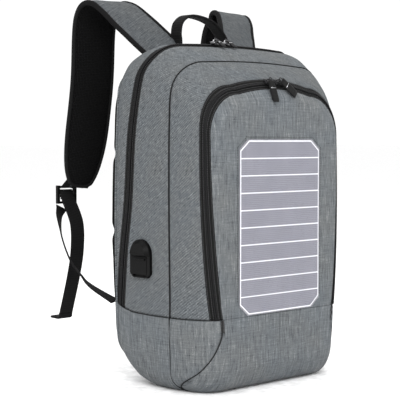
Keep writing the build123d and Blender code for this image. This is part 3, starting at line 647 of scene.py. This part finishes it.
def solar_backing():
    """Grey laminate with the white conductor that frames the cells and runs between them."""
    s = Surface("solar_backing")
    low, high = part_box("solar_cells")
    middle, half = (low + high) / 2, (high - low) / 2
    parts = s.node("ShaderNodeSeparateXYZ")
    s.put(parts.inputs[0], s.coords((1, 1, 1), kind="Object"))
    x = s.math("SUBTRACT", s.math("ABSOLUTE", s.math("SUBTRACT", parts.outputs[0], middle.x)), half.x)
    z = s.math("SUBTRACT", s.math("ABSOLUTE", s.math("SUBTRACT", parts.outputs[2], middle.z)), half.z)
    corner = s.math("ADD", s.math("MULTIPLY", s.math("ADD", x, 0.0160), 0.63), s.math("MULTIPLY", z, 0.775))
    out = s.math("MAXIMUM", s.math("MAXIMUM", x, z), corner)
    ripple = s.noise(s.coords((60, 60, 60), kind="Object"), 1.0, 2, 0.5)
    rim = s.ramp(ripple, (0.3, (0.17, 0.17, 0.19)), (0.7, (0.22, 0.22, 0.24)))
    tone = s.mix(s.math("LESS_THAN", out, TRACE_WIDTH), rim, (0.80, 0.80, 0.84, 1))
    s.bump(ripple, 0.1, 0.0002)
    return s.done(tone, s.between(ripple, 0.35, 0.45), Specular_IOR_Level=0.3)


def clear_film():
    """Clear laminate, seen mostly by its gloss."""
    s = Surface("solar_film")
    ripple = s.noise(s.coords((25, 25, 25), kind="Object"), 1.0, 2, 0.4)
    s.bump(ripple, 0.15, 0.0006)
    tone = s.ramp(ripple, (0.3, (0.82, 0.82, 0.9)), (0.7, (0.9, 0.9, 0.95)))
    return s.done(tone, s.between(ripple, 0.16, 0.24), Alpha=0.035, Specular_IOR_Level=0.3)


front_cloth = melange("melange_upright", 0.116, 0.0, 11, contrast=1.6)
side_cloth = melange("melange_slanted", 0.100, -55.0, 3.5, twill=0.10, contrast=1.6)
strap_cloth = melange("melange_strap", 0.070, 90.0, 5, twill=0.05, contrast=1.3)
lining = woven_black("lining", 0.05, 1.4, "Y", 0.3)
webbing_mat = woven_black("webbing", 0.0075, 1.9)
tape_mat = zip_tape("zip_tape", 0.007)
coil_mat = moulded("zip_coil", (0.0045, 0.0045, 0.005), 0.45, 0.1, "UV", Specular_IOR_Level=0.16)
binding_mat = woven_black("binding", 0.0065, 1.0, "Y", 0.4)
piping_mat = woven_black("piping", 0.014, 1.0, "Y", 0.4)
net = mesh_fabric("spacer_mesh", 0.006)
plastic = moulded("black_plastic", (0.0016, 0.0016, 0.0017), 0.45, 0.3, Specular_IOR_Level=0.1)
port_rubber = moulded("port_rubber", (0.002, 0.002, 0.0021), 0.5, 0.35, Specular_IOR_Level=0.1)
pull_rubber = moulded("pull_rubber", (0.003, 0.003, 0.0032), 0.45, 0.3, Specular_IOR_Level=0.12)
gunmetal = metal("slider_black", (0.035, 0.035, 0.037), 0.34)
silver = metal("slider_silver", (0.42, 0.42, 0.43), 0.28)
nickel = metal("socket_metal", (0.60, 0.60, 0.62), 0.28)
stiffener = moulded("stiffener", (0.05, 0.05, 0.055), 0.6)
board_mat = moulded("board", (0.03, 0.16, 0.07), 0.4)
lead_mat = moulded("lead", (0.02, 0.02, 0.02), 0.5)
backing_mat = solar_backing()
thread_mat = woven_black("thread_dark", 0.03, 0.8, "Y", 0.4)
cell_mat, film_mat = solar_cell(), clear_film()

# ---------------------------------------------------------------- body panels
COLS = 250
T = np.linspace(0, 1, COLS)
zip_y = crossing(MAIN_ZIP, T)
section_y = crossing(SECTION_SEAM, T)
pocket_y = crossing(POCKET_ZIP, T)
corner_y = crossing(CORNER_SEAM, T, lower)
back_y = np.full(COLS, BACK_SEAM)
front_y = np.full(COLS, FRONT)
BACK_MIDDLE = (140.0, 330.0)
BOTH_BODIES = ("rear_body", "front_body")
OPEN_FOLD = dict(start=(0, 0, 0.010), end=(0, 0, 0.095))


def fabric(name, body, grid, node, mats, **options):
    """A sewn panel of the body that rides on one CAD body and stands for a CAD node."""
    return settle(sheet_piece(name, grid, mats, **options), "grey_fabric", body, node)


main_zip_front = shifted(T, zip_y, -TAPE)
main_zip_rear = np.minimum(shifted(T, zip_y, TAPE), back_y - 1)
pocket_rear = shifted(T, pocket_y, TAPE)
pocket_front = shifted(T, pocket_y, -TAPE)

fabric("rear_gusset_cloth", "rear_body", sewn(strip(T, main_zip_rear, back_y, 12), 0.8), "rear_gusset",
       [side_cloth, lining])
fabric("main_gusset_cloth", "front_body", sewn(strip(T, section_y, main_zip_front, 34), 1.6), "main_gusset",
       [side_cloth, lining])
fabric("front_gusset_cloth", "front_body", sewn(strip(T, pocket_rear, section_y, 24), 1.4), "front_gusset",
       [side_cloth, lining])

# Boot: sides and bottom, to the seam at the corner of the front face
boot_grid = sewn(strip(T, corner_y, back_y, 56, lower), 0.8)
boot = sheet_piece("boot_cloth", boot_grid, [front_cloth, lining],
                   uv=np.stack([boot_grid[..., 1], lengths(boot_grid, 1)], -1))
settle(boot, "grey_fabric", BOTH_BODIES, "base_boot", **OPEN_FOLD)
heel_ring = lower(T, np.full(COLS, BACK))
heel = np.vstack([strip(T, back_y, np.full(COLS, BACK), 10, lower), cap(heel_ring, (72.0, 130.0), 12)[1:]])
fabric("boot_heel", "rear_body", sewn(heel, 0.6, edges=(True, False, False, False)), "base_boot",
       [front_cloth, lining], uv=heel[..., [0, 2]])

# Front face below the pocket
low_ring = lower(T, np.full(COLS, FRONT))
low_face = np.vstack([strip(T, corner_y, front_y, 26, lower), cap(low_ring, (60.0, 104.0), 26)[1:]])
low_face = sewn(low_face, 0.4, edges=(True, False, False, False), loose=0.3)
low = sheet_piece("front_face_lower", low_face, [front_cloth, lining], uv=low_face[..., [0, 2]])
settle(low, "grey_fabric", BOTH_BODIES, "lower_front_panel", **OPEN_FOLD)

# Flap with the solar panel, which folds at its foot; this piece is not made to fold
flap_rim = np.minimum(pocket_front - 4, FRONT)
flap = np.vstack([strip(T, pocket_front, flap_rim, 8), cap(upper(T, flap_rim), (90.0, 330.0), 30)[1:]])
flap = sewn(flap, 0.3, edges=(True, False, False, False), loose=0.0)
flap_obj = sheet_piece("flap_cloth", flap, [front_cloth, lining], thickness=3.0, uv=flap[..., [0, 2]])
settle(flap_obj, "grey_fabric", ("front_body", "pocket_flap"), "pocket_flap_panel",
       start=(0, -0.095, 0.1035), end=(0, -0.095, 0.110))


# ---------------------------------------------------------------- zips
TOOTH_PITCH = 1.9


def tape_half(name, body, node, centre, side):
    """One side of a zip: tape from its coil to the cloth, riding on one body."""
    inner = shifted(T, centre, side * 0.4)
    edge = shifted(T, centre, side * (TAPE + 1.5))
    if side > 0:
        edge = np.minimum(edge, BACK_SEAM + 1)
    p = strip(T, inner, edge, 6)
    p = p + normals(p, MIDDLE) * (-0.7)
    settle(sheet_piece(name, p, [tape_mat], thickness=1.1), "zip_tape", body, node)


def coil_half(name, body, centre, side):
    """One side's coil: a ridge with a bump for each tooth."""
    fine = np.linspace(0.001, 0.999, 1700)
    y = shifted(fine, np.interp(fine, T, centre), side * 1.25)
    path = upper(fine, y)
    out = normals(np.stack([upper(fine, y - 1), path, upper(fine, y + 1)]), MIDDLE)[1]
    path = path + out * 0.3
    run = lengths(path, 0)
    beat = 1 + 0.22 * np.cos(run * 2 * math.pi / TOOTH_PITCH + (0 if side > 0 else math.pi))
    coil = swept(name, path, out, round_section(1.35, 8), coil_mat, scale=np.stack([beat, beat], -1))
    settle(coil, "zip_tape", body)


ZIP_HALVES = (("main", "rear", "rear_body", "rear", zip_y, 1),
              ("main", "front", "front_body", "front", zip_y, -1),
              ("pocket", "outer", "front_body", "body", pocket_y, 1),
              ("pocket", "flap", "pocket_flap", "flap", pocket_y, -1))
for zip_name, half, body, node_end, centre, side in ZIP_HALVES:
    tape_half(f"{zip_name}_zip_tape_{half}_half", body, f"{zip_name}_zip_tape_{node_end}", centre, side)
for zip_name, half, body, _, centre, side in ZIP_HALVES:
    coil_half(f"{zip_name}_zip_coil_{half}", body, centre, side)


# ---------------------------------------------------------------- sliders and pulls
def pillow(place, axes, outline, thickness, rows=34, cols=14, uneven=0.0):
    """Closed slab, rounded all round: outline(v) gives its half width at v from 0 to 1 along its length."""
    along, across, up = (np.array(a, float) for a in axes)
    v = (1 - np.cos(np.linspace(0.0, math.pi, rows))) / 2
    u = np.sin(np.linspace(-1, 1, cols) * math.pi / 2)
    end = np.clip(np.minimum(v, 1 - v) * 7, 0, 1) ** 0.5
    rise = thickness / 2 * np.clip(1 - np.abs(u[None]) ** 5, 0, 1) ** 0.5 * end[:, None]
    rise = rise * (1 + uneven * (np.cos(v * 2 * math.pi * 7) > 0.2) * (v > 0.45))[:, None]
    half = np.array([outline(step) for step in v])
    flat = place + along * v[:, None, None] + across * (half[:, None] * u[None])[..., None]
    lift = up * rise[..., None]
    verts = np.concatenate([(flat + lift).reshape(-1, 3), (flat - lift).reshape(-1, 3)])
    faces = grid_faces(rows, cols)
    return verts, np.vstack([faces, faces[:, ::-1] + rows * cols])


def solid(name, parts, mat, body, slot, *nodes):
    """Rigid piece from several closed meshes, each with its seam welded."""
    verts, faces, count = [], [], 0
    for part_verts, part_faces in parts:
        verts.append(np.asarray(part_verts, float))
        faces += [[int(i) + count for i in face] for face in part_faces]
        count += len(part_verts)
    verts = np.vstack(verts)
    obj = build(name, verts, faces, [mat], verts[:, [0, 2]])
    bm = bmesh.new()
    bm.from_mesh(obj.data)
    bmesh.ops.remove_doubles(bm, verts=bm.verts, dist=0.00002)
    bmesh.ops.recalc_face_normals(bm, faces=bm.faces)
    bm.to_mesh(obj.data)
    bm.free()
    settle(obj, slot, body, *nodes)


def tube(path, radius, side=SKEW, closed=False):
    """Points and faces of a round bar along a path."""
    return bar(path, side, round_section(radius, 8), np.ones((len(path), 2)), closed)


def slider(name, body, at, facing, mat):
    """Zip slider: two joined plates, nose wider than tail, with its bridge; its node is named as its body."""
    at, up = np.array(at, float), np.array(facing, float) / np.linalg.norm(facing)
    along = np.array((1.0, 0, 0))
    across = np.cross(up, along)
    plate = pillow(at - along * 6.3 + up * 0.5, (along * 12.6, across, up), lambda v: 4.9 - 1.6 * v ** 2, 2.4)
    foot = pillow(at - along * 6.0 - up * 1.2, (along * 12.0, across, up), lambda v: 4.6 - 1.6 * v ** 2, 1.4)
    turn = np.linspace(0, math.pi, 16)[:, None]
    bridge = at + along * (-4.2 * np.cos(turn)) + up * (1.2 + 3.4 * np.sin(turn) ** 0.6)
    solid(name, [plate, foot, tube(bridge, 0.95, across)], mat, body, "slider_metal", body)


TAB_START = 3.4         # from a pull's pivot to its rubber tab


def pull(side, kind, pivot, tilt, lean, length, width):
    """Rubber pull on its wire ring, ridged where it is held."""
    tilt, lean = math.radians(tilt), math.radians(lean)
    down = np.array((math.sin(lean), math.cos(lean) * math.sin(tilt), -math.cos(lean) * math.cos(tilt)))
    across = np.array((math.cos(lean), -math.sin(lean) * math.sin(tilt), math.sin(lean) * math.cos(tilt)))
    up = np.cross(across, down)
    pivot = np.array(pivot, float)
    body = f"{kind}_pull_{side}"
    turn = np.linspace(0, 2 * math.pi, 28, endpoint=False)[:, None]
    ring = pivot + down * (1.7 - 2.9 * np.cos(turn)) + across * (2.3 * np.sin(turn))
    solid(f"{kind}_ring_{side}", [tube(ring, 0.62, up, closed=True)], gunmetal, body, "slider_metal")
    grip = length - TAB_START

    def outline(v):
        """Half width of the tab: it widens from its ring, and its end is cut back."""
        return width / 2 * (0.80 + 0.20 * min(1, v * 2.6)) * (1 if v < 0.9 else 1 - (v - 0.9) * 1.6)

    tab = pillow(pivot + down * TAB_START, (down * grip, across, up), outline, 2.7, uneven=0.16)
    solid(f"{kind}_tab_{side}", [tab], pull_rubber, body, "pull_rubber", body)
    mark = pivot + down * (TAB_START + grip * 0.36)
    for number, face in enumerate((1, -1)):
        run = np.array([mark + across * (x * width * 0.36) + up * (1.42 * face) for x in (-1, 0, 1)])
        solid(f"{kind}_inlay_{side}_{number}", [tube(run, 0.34)], nickel, body, "slider_metal")


MAIN_SLIDERS, POCKET_SLIDERS = {"left": -34.0, "right": -12.0}, {"left": -12.0, "right": 8.0}
for side, x in MAIN_SLIDERS.items():
    slider(f"main_slider_body_{side}", f"main_slider_{side}", (x, -1.0, 482.2), (0, -0.1, 1), silver)
    pull(side, "main", (x, -1.5, 488.0), -55.0, 0.0, 23.0, 8.4)
for side, x in POCKET_SLIDERS.items():
    at, facing = (x, -82.2, 425.4), (0, -0.72, 0.69)
    slider(f"pocket_slider_body_{side}", f"pocket_slider_{side}", at, facing, gunmetal)
    pull(side, "pocket", (x, -87.4, 430.0), -19.0, 46.0 if side == "right" else 0.0, 35.0, 13.5)


# ---------------------------------------------------------------- piping and seams
def piping(name, path, radius, mat, body, slot="webbing", scale=None, **fold):
    """Piping cord sewn into a seam."""
    settle(swept(name, path, SKEW, round_section(radius), mat, scale=scale), slot, body, **fold)


seam_path = upper(T, section_y)
buried = 1 - 0.35 * np.clip((seam_path[:, 2] - 395) / 25, 0, 1)
piping("section_piping", seam_path, 1.0, piping_mat, "front_body", scale=np.stack([buried, buried], -1))
piping("back_piping", upper(T, back_y), 1.6, side_cloth, "rear_body", slot="grey_fabric")
piping("heel_piping", lower(T, back_y), 1.6, front_cloth, "rear_body", slot="grey_fabric")
low_section_y = crossing([(-40.0, -5.0), (-29.0, 12.0), (-27.0, 30.0), (-27.0, 120.0)], T, lower)
piping("boot_section_piping", lower(T, low_section_y), 1.0, piping_mat, BOTH_BODIES, **OPEN_FOLD)
for side, low_t, high_t in (("left", 0.0, 0.245), ("right", 0.755, 1.0)):
    t = np.linspace(low_t, high_t, 90)
    seam = lower(t, np.interp(t, T, corner_y))
    piping(f"corner_piping_{side}", seam, 0.55, piping_mat, BOTH_BODIES, **OPEN_FOLD)
for side, t in (("left", 0.0), ("right", 1.0)):
    depths = np.linspace(FRONT, BACK_SEAM - 3, 90)
    piping(f"boot_piping_{side}", lower(np.full(90, t), depths), 0.4, piping_mat, BOTH_BODIES, **OPEN_FOLD)

# ---------------------------------------------------------------- back panel
back_ring = upper(T, np.full(COLS, BACK))
back = np.vstack([strip(T, back_y, np.full(COLS, BACK), 10), cap(back_ring, BACK_MIDDLE, 40)[1:]])


def channels(p):
    """Depth of the sewn channels of the back panel: one up the middle and two across."""
    upright = np.exp(-(p[..., 0] / 9.0) ** 2)
    bowed = p[..., 2] - 0.0012 * p[..., 0] ** 2
    across = sum(np.exp(-((bowed - level) / 7.0) ** 2) for level in (190.0, 300.0))
    return np.clip(upright + across, 0, 1.2)


back = sewn(back, 1.2, edges=(True, False, False, False))
facing = np.clip((back[..., 1] - 86) / 8, 0, 1)
back[..., 1] += facing * (3.0 - 6.0 * channels(back))
rim = np.clip(1 - (back[..., 1] - BACK_SEAM - 2) / 8, 0, 1)
back_held = np.clip(np.maximum(rim, (channels(back) - 0.55) * 4), 0, 1)
back_obj = sheet_piece("back_pad", back, [net, lining], thickness=8.0, uv=back[..., [0, 2]],
                       stitched=back_held, pressure=4.0, limit=4.0)
settle(back_obj, "black_mesh", "rear_body", "back_panel")


# ---------------------------------------------------------------- stitching round the solar panel
def stitches(name, corners, pitch, body):
    """A row of short thread stitches along each run between corners, lying on the cloth."""
    verts, faces = [], []
    section = round_section(0.42, 6)
    for a, b in zip(corners, corners[1:]):
        a, b = np.array(a, float), np.array(b, float)
        along = (b - a) / np.linalg.norm(b - a)
        side = np.cross(along, (0, 1, 0))
        for start in np.arange(pitch / 2, np.linalg.norm(b - a), pitch):
            for step, size in ((0.0, 0.4), (0.25, 1.0), (0.75, 1.0), (1.0, 0.4)):
                centre = a + along * (start + step * pitch * 0.62)
                verts += [centre + size * (side * u + np.array((0, v, 0))) for u, v in section]
            first = len(verts) - 4 * len(section)
            ring = len(section)
            faces += (grid_faces(4, ring, wrap_cols=True) + first).tolist()
            faces += [list(range(first, first + ring)), list(range(first + 3 * ring, first + 4 * ring))[::-1]]
    obj = build(name, verts, faces, [thread_mat], np.array(verts)[:, [0, 2]])
    fix_normals(obj)
    settle(obj, "webbing", body)


lo, hi = (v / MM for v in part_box("solar_backing"))
STITCH_OUT, STITCH_CUT = 3.2, (17.5, 14.5)
x0, x1, z0, z1 = lo.x - STITCH_OUT, hi.x + STITCH_OUT, lo.z + 4.0, hi.z + STITCH_OUT
level = FRONT - 0.35
dx, dz = STITCH_CUT
outline = [(x0, z0 + dz), (x0, z1 - dz), (x0 + dx, z1), (x1 - dx, z1), (x1, z1 - dz), (x1, z0 + dz)]
stitches("panel_stitching", [(x, level, z) for x, z in outline], 3.4, "pocket_flap")

# ---------------------------------------------------------------- shoulder straps
PAD_LINE = [(-68.0, 50.0, 461.0), (-84.0, 68.0, 482.0), (-104.0, 92.0, 511.0), (-119.0, 113.0, 532.0),
            (-127.0, 133.0, 539.0), (-127.0, 150.0, 527.0), (-125.5, 159.0, 500.0), (-124.0, 165.0, 430.0),
            (-128.0, 172.0, 360.0), (-134.0, 177.0, 305.0), (-137.0, 180.0, 274.0)]
PAD_ACROSS = (0.99, -0.14, 0.0)
PAD_WIDTH, PAD_T = 66.0, 11.0
TAIL_LINE = [(-141.0, 199.5, 253.0), (-132.0, 193.0, 220.0), (-129.0, 196.0, 180.0), (-130.0, 204.0, 140.0),
             (-130.0, 224.0, 80.0)]
TETHER_LINE = [(-134.0, 103.0, 112.0), (-146.0, 140.0, 131.0), (-150.0, 161.0, 147.0), (-154.0, 181.0, 168.0),
               (-155.0, 199.0, 200.0), (-150.0, 212.5, 229.0), (-143.0, 215.8, 244.0)]
LADDER_AT = (-142.0, 205.0, 262.0)
WEBBING_W, WEBBING_T = 25.0, 1.8


def flipped(points, sign):
    """Points of the left side, or mirrored to the right."""
    p = np.array(points, float)
    p[..., 0] *= sign
    return p


def pad(side, sign):
    """Padded strap: cloth outside, spacer mesh inside, bound edges."""
    stations, half_cols = 84, 15
    path = smooth(PAD_LINE, stations)
    _, across, up = frames(path, PAD_ACROSS)
    t = np.linspace(0, 1, stations)
    narrowing = np.clip((t - 0.80) / 0.20, 0, 1)
    half = PAD_WIDTH / 2 * (1 - 0.58 * narrowing ** 1.7)
    c = np.sin(np.linspace(-1, 1, half_cols) * math.pi / 2)
    swell = (1 - np.abs(c) ** 3.0) * (PAD_T / 2 - 1.6) + 1.6
    ends = np.clip(np.minimum(t * 14, (1 - t) * 16), 0.25, 1) ** 0.5
    rows_up = path[:, None] + across[:, None] * (half[:, None, None] * c[None, :, None])
    lift = up[:, None] * (swell[None, :] * ends[:, None])[..., None]
    outer, inner = rows_up + lift, rows_up - lift
    run = lengths(path, 0)[:, None] + 0 * c[None]
    width = half[:, None] * c[None]
    crease = 0.35 * np.sin(run * 2 * math.pi / 11 + 3 * undulation(rows_up, 70)) * (np.abs(c) ** 4)[None]
    outer += up[:, None] * (crease + 0.5 * undulation(rows_up, 60))[..., None]
    pieces = []
    held = np.clip((np.abs(c) - 0.8) * 8, 0, 1)[None] + 0 * run
    held[:3], held[-3:] = 1, 1
    for label, grid, mats, slot, facing in (("outer", outer, [strap_cloth], "grey_fabric", up),
                                            ("mesh", inner, [net], "black_mesh", -up)):
        grid = flipped(grid, sign)
        obj = sheet_piece(f"strap_{label}_{side}", grid, mats, thickness=1.2,
                          uv=np.stack([width, run], -1), outward=None, facing=flipped(facing, sign),
                          stitched=held, pressure=3.0, limit=2.5)
        pieces.append((obj, slot))
    loop = np.vstack([path + across * half[:, None], (path - across * half[:, None])[::-1]])
    edge = strap_edge(loop)
    bind = swept(f"strap_binding_{side}", flipped(edge, sign), flipped(np.vstack([up, up[::-1]]), sign),
                 strap_section(8.0, 5.2, 5), binding_mat, closed=True)
    pieces.append((bind, "webbing"))
    for obj, slot in pieces:
        settle(obj, slot, f"shoulder_strap_{side}")
    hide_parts(f"strap_pad_{side}")


def strap_edge(loop):
    """The strap's outline as one closed path, its ends rounded."""
    p = loop.copy()
    for _ in range(3):
        p = 0.25 * np.roll(p, 1, 0) + 0.5 * p + 0.25 * np.roll(p, -1, 0)
    return p


def webbing(name, points, width, side, thickness, count):
    """Band of webbing along a smooth line."""
    return swept(name, smooth(points, count), side, strap_section(width, thickness, 4), webbing_mat)


def ear(side, sign):
    """Folded fabric ear, sewn into the back's rim, that holds the lower webbing."""
    u, v = np.meshgrid(np.linspace(0, 1, 14), np.linspace(0, 1, 10))
    left, right = -133.0 + 3.0 * v, -111.0 - 12.0 * v
    bulge = 0.9 * np.sin(u * math.pi) * (1 - v)
    p = np.stack([left + (right - left) * u, 99.9 + bulge, 104.5 + 20.5 * v], -1)
    obj = sheet_piece(f"ear_{side}", flipped(p, sign), [webbing_mat], thickness=1.6, outward=(0, 0, 110))
    settle(obj, "webbing", "rear_body", f"webbing_anchor_{side}")


def gear(side, sign):
    """Everything of one side's strap: pad, ear, webbing with its stop, and lower webbing."""
    body = f"shoulder_strap_{side}"
    pad(side, sign)
    ear(side, sign)
    x, y, z = LADDER_AT
    loop = [(-137.0, 184.0, 300.0), (-137.5, 188.5, 290.0), (x, y - 3.4, z + 12.4)]
    through = [(x, y + 2.6, z + 8.5), (x, y - 1.0, z + 3.2), (x, y - 3.4, z - 4.0)]
    x, y, z = TAIL_LINE[-1]
    fold = [(x, y - 0.4, z + 3), (x, y + 0.4, z - 2.4), (x, y + 6, z - 4.0), (x, y + 21, z - 3.6)]
    for name, node, points, thickness, count in (
            ("loop_webbing", "strap_loop", loop, WEBBING_T, 14),
            ("tail", "webbing_tail", through + TAIL_LINE, WEBBING_T, 80),
            ("tail_stop", "webbing_stop", fold, 3.6, 24)):
        obj = webbing(f"{name}_{side}", flipped(points, sign), WEBBING_W, (1, 0, 0), thickness, count)
        settle(obj, "webbing", body, f"{node}_{side}")
    path = smooth(flipped(TETHER_LINE, sign), 70)
    share = np.linspace(0, 1, 70)[:, None]
    turn = np.clip(np.sin(share * math.pi) * 1.25, 0, 1)
    across = (1 - turn) * np.array([[1.0 * sign, 0.0, 0.0]]) + turn * np.array([[0.62 * sign, 0.78, 0.0]])
    tether = swept(f"tether_{side}", path, across, strap_section(WEBBING_W * 0.8, WEBBING_T, 4), webbing_mat)
    a, b = Vector(path[4]) * MM, Vector(path[-4]) * MM
    settle(tether, "webbing", ("rear_body", body), f"lower_webbing_{side}", start=a, end=b)


gear("left", 1)
gear("right", -1)

# ---------------------------------------------------------------- haul loop
HANDLE_LINE = [(-49.0, 62.0, 472.0), (-50.0, 62.0, 489.6), (-51.0, 62.0, 499.0), (-47.0, 62.0, 514.0),
               (-32.0, 62.0, 524.0), (-8.0, 62.0, 524.0), (18.0, 62.0, 517.0), (38.0, 62.0, 501.0),
               (43.5, 62.0, 489.6), (45.0, 62.0, 472.0)]
handle = webbing("haul_loop_webbing", HANDLE_LINE, 22.0, (0, 1, 0), 4.0, 110)
settle(handle, "webbing", ("rear_body", "haul_handle"), "haul_handle", "handle_feet",
       start=(0, 0.062, 0.474), end=(0, 0.062, 0.492))


# ---------------------------------------------------------------- inside
def rounded_sheet(x0, x1, z0, z1, y, sag, count=26):
    """Upright cloth panel with a soft belly."""
    u, v = np.meshgrid(np.linspace(0, 1, count), np.linspace(0, 1, count))
    belly = np.sin(u * math.pi) * np.sin(v * math.pi)
    p = np.stack([x0 + (x1 - x0) * u, y - sag * belly, z0 + (z1 - z0) * v], -1)
    p[..., 1] += 0.5 * undulation(p, 80) * belly
    return p


def inside_panel(name, body, node, y, thickness, sag, padding=0.0):
    """Cloth panel inside the bag, as large as its CAD node and sewn along its edges; a padded one swells."""
    low, high = (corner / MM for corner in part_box(node))
    p = rounded_sheet(low.x, high.x, low.z, high.z, y, sag)
    held = None
    if padding:
        held = np.zeros(p.shape[:2])
        held[[0, -1]], held[:, [0, -1]] = 1, 1
    obj = sheet_piece(name, p, [lining], thickness=thickness, uv=p[..., [0, 2]], outward=BEHIND,
                      stitched=held, pressure=padding, limit=4.0)
    return settle(obj, "lining", body, node)


BEHIND = (0, 500, 240)      # a point behind the bag, which the inside panels turn away from
sleeve_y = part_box("laptop_sleeve")[0].y / MM + 2
sleeve = inside_panel("sleeve_front", "rear_body", "laptop_sleeve", sleeve_y, 5.0, 2.0, padding=2.0)

# The divider fills the front section's outline from the pocket's floor to its crest
lo, hi = (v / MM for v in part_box("pocket_divider"))
DIVIDER_INSET = 5.0
divider_ring = upper(T, np.full(COLS, hi.y - 2))
divider_ring[..., 0] *= 1 - DIVIDER_INSET / np.abs(divider_ring[..., 0]).max()
divider_ring[..., 2] = np.clip(divider_ring[..., 2] - DIVIDER_INSET, lo.z, None)
divider = cap(divider_ring, (lo.z + 1, 330.0), 24)
divider[..., 1] += 0.6 * undulation(divider, 80)
divider_obj = sheet_piece("divider_cloth", divider, [lining], thickness=1.6, uv=divider[..., [0, 2]],
                          outward=BEHIND)
settle(divider_obj, "lining", "front_body", "pocket_divider")
bank_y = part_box("power_bank_pocket")[1].y / MM
inside_panel("bank_pocket_cloth", "front_body", "power_bank_pocket", bank_y, 1.6, -1.0)

# ---------------------------------------------------------------- CAD nodes that stay
KEPT = {
    "port_bezel": plastic, "port_inner_housing": plastic, "port_tongue": plastic, "port_socket": nickel,
    "port_cover": port_rubber, "lead_gland": lead_mat, "charge_lead": lead_mat, "charge_lead_plug": lead_mat,
    "solar_backing": backing_mat, "solar_cells": cell_mat, "solar_cover_sheet": film_mat,
    "regulator_case": plastic, "regulator_lid": plastic, "regulator_screws": nickel,
    "regulator_board": board_mat, "regulator_socket": nickel, "base_board": stiffener,
    "frame_sheet": stiffener, "ladder_lock_left": plastic, "ladder_lock_right": plastic}
for node, mat in KEPT.items():
    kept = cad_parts[node]
    kept.data.materials.clear()
    kept.data.materials.append(mat)


# ---------------------------------------------------------------- floor, light, camera
FLOOR_REACH = 60000


def backdrop():
    """Wide white floor."""
    floor_mat = moulded("floor", (0.93, 0.93, 0.93), 0.8, 0.05)
    reach = np.linspace(-1, 1, 24) ** 3 * FLOOR_REACH
    p = np.stack(np.broadcast_arrays(reach[None], reach[:, None], -0.05), -1)
    obj = build("floor", p.reshape(-1, 3), grid_faces(len(reach), len(reach)), [floor_mat])


def area_light(name, at, target, size, power):
    """Square light that faces a target."""
    light = bpy.data.lights.new(name, "AREA")
    light.shape, light.size, light.energy = "SQUARE", size, power
    obj = bpy.data.objects.new(name, light)
    obj.location = at
    obj.rotation_euler = (Vector(target) - Vector(at)).to_track_quat("-Z", "Y").to_euler()
    bpy.context.scene.collection.objects.link(obj)


backdrop()
area_light("key", (-2.4, -2.2, 2.4), (0, 0, 0.25), 2.0, 100)
area_light("fill", (1.8, -3.0, 1.6), (0, 0, 0.25), 2.4, 25)
area_light("top", (0.2, 0.6, 3.2), (0, 0, 0.3), 2.4, 35)
world = bpy.data.worlds.new("world")
world.use_nodes = True
world.node_tree.nodes["Background"].inputs[0].default_value = (1, 1, 1, 1)
world.node_tree.nodes["Background"].inputs[1].default_value = 1.06
bpy.context.scene.world = world
bpy.context.scene.view_settings.view_transform = "Standard"

CAMERA_AT = (-1.287, -1.266, 0.345)
CAMERA_HEADING = (0.695, 0.719)
CAMERA_PITCH = -2.78
camera = bpy.data.cameras.new("camera")
camera.lens, camera.sensor_width = 112.14, 36.0
camera_obj = bpy.data.objects.new("camera", camera)
camera_obj.location = CAMERA_AT
tilt = math.radians(CAMERA_PITCH)
look = Vector((CAMERA_HEADING[0] * math.cos(tilt), CAMERA_HEADING[1] * math.cos(tilt), math.sin(tilt)))
camera_obj.rotation_euler = look.to_track_quat("-Z", "Y").to_euler()
bpy.context.scene.collection.objects.link(camera_obj)
bpy.context.scene.camera = camera_obj
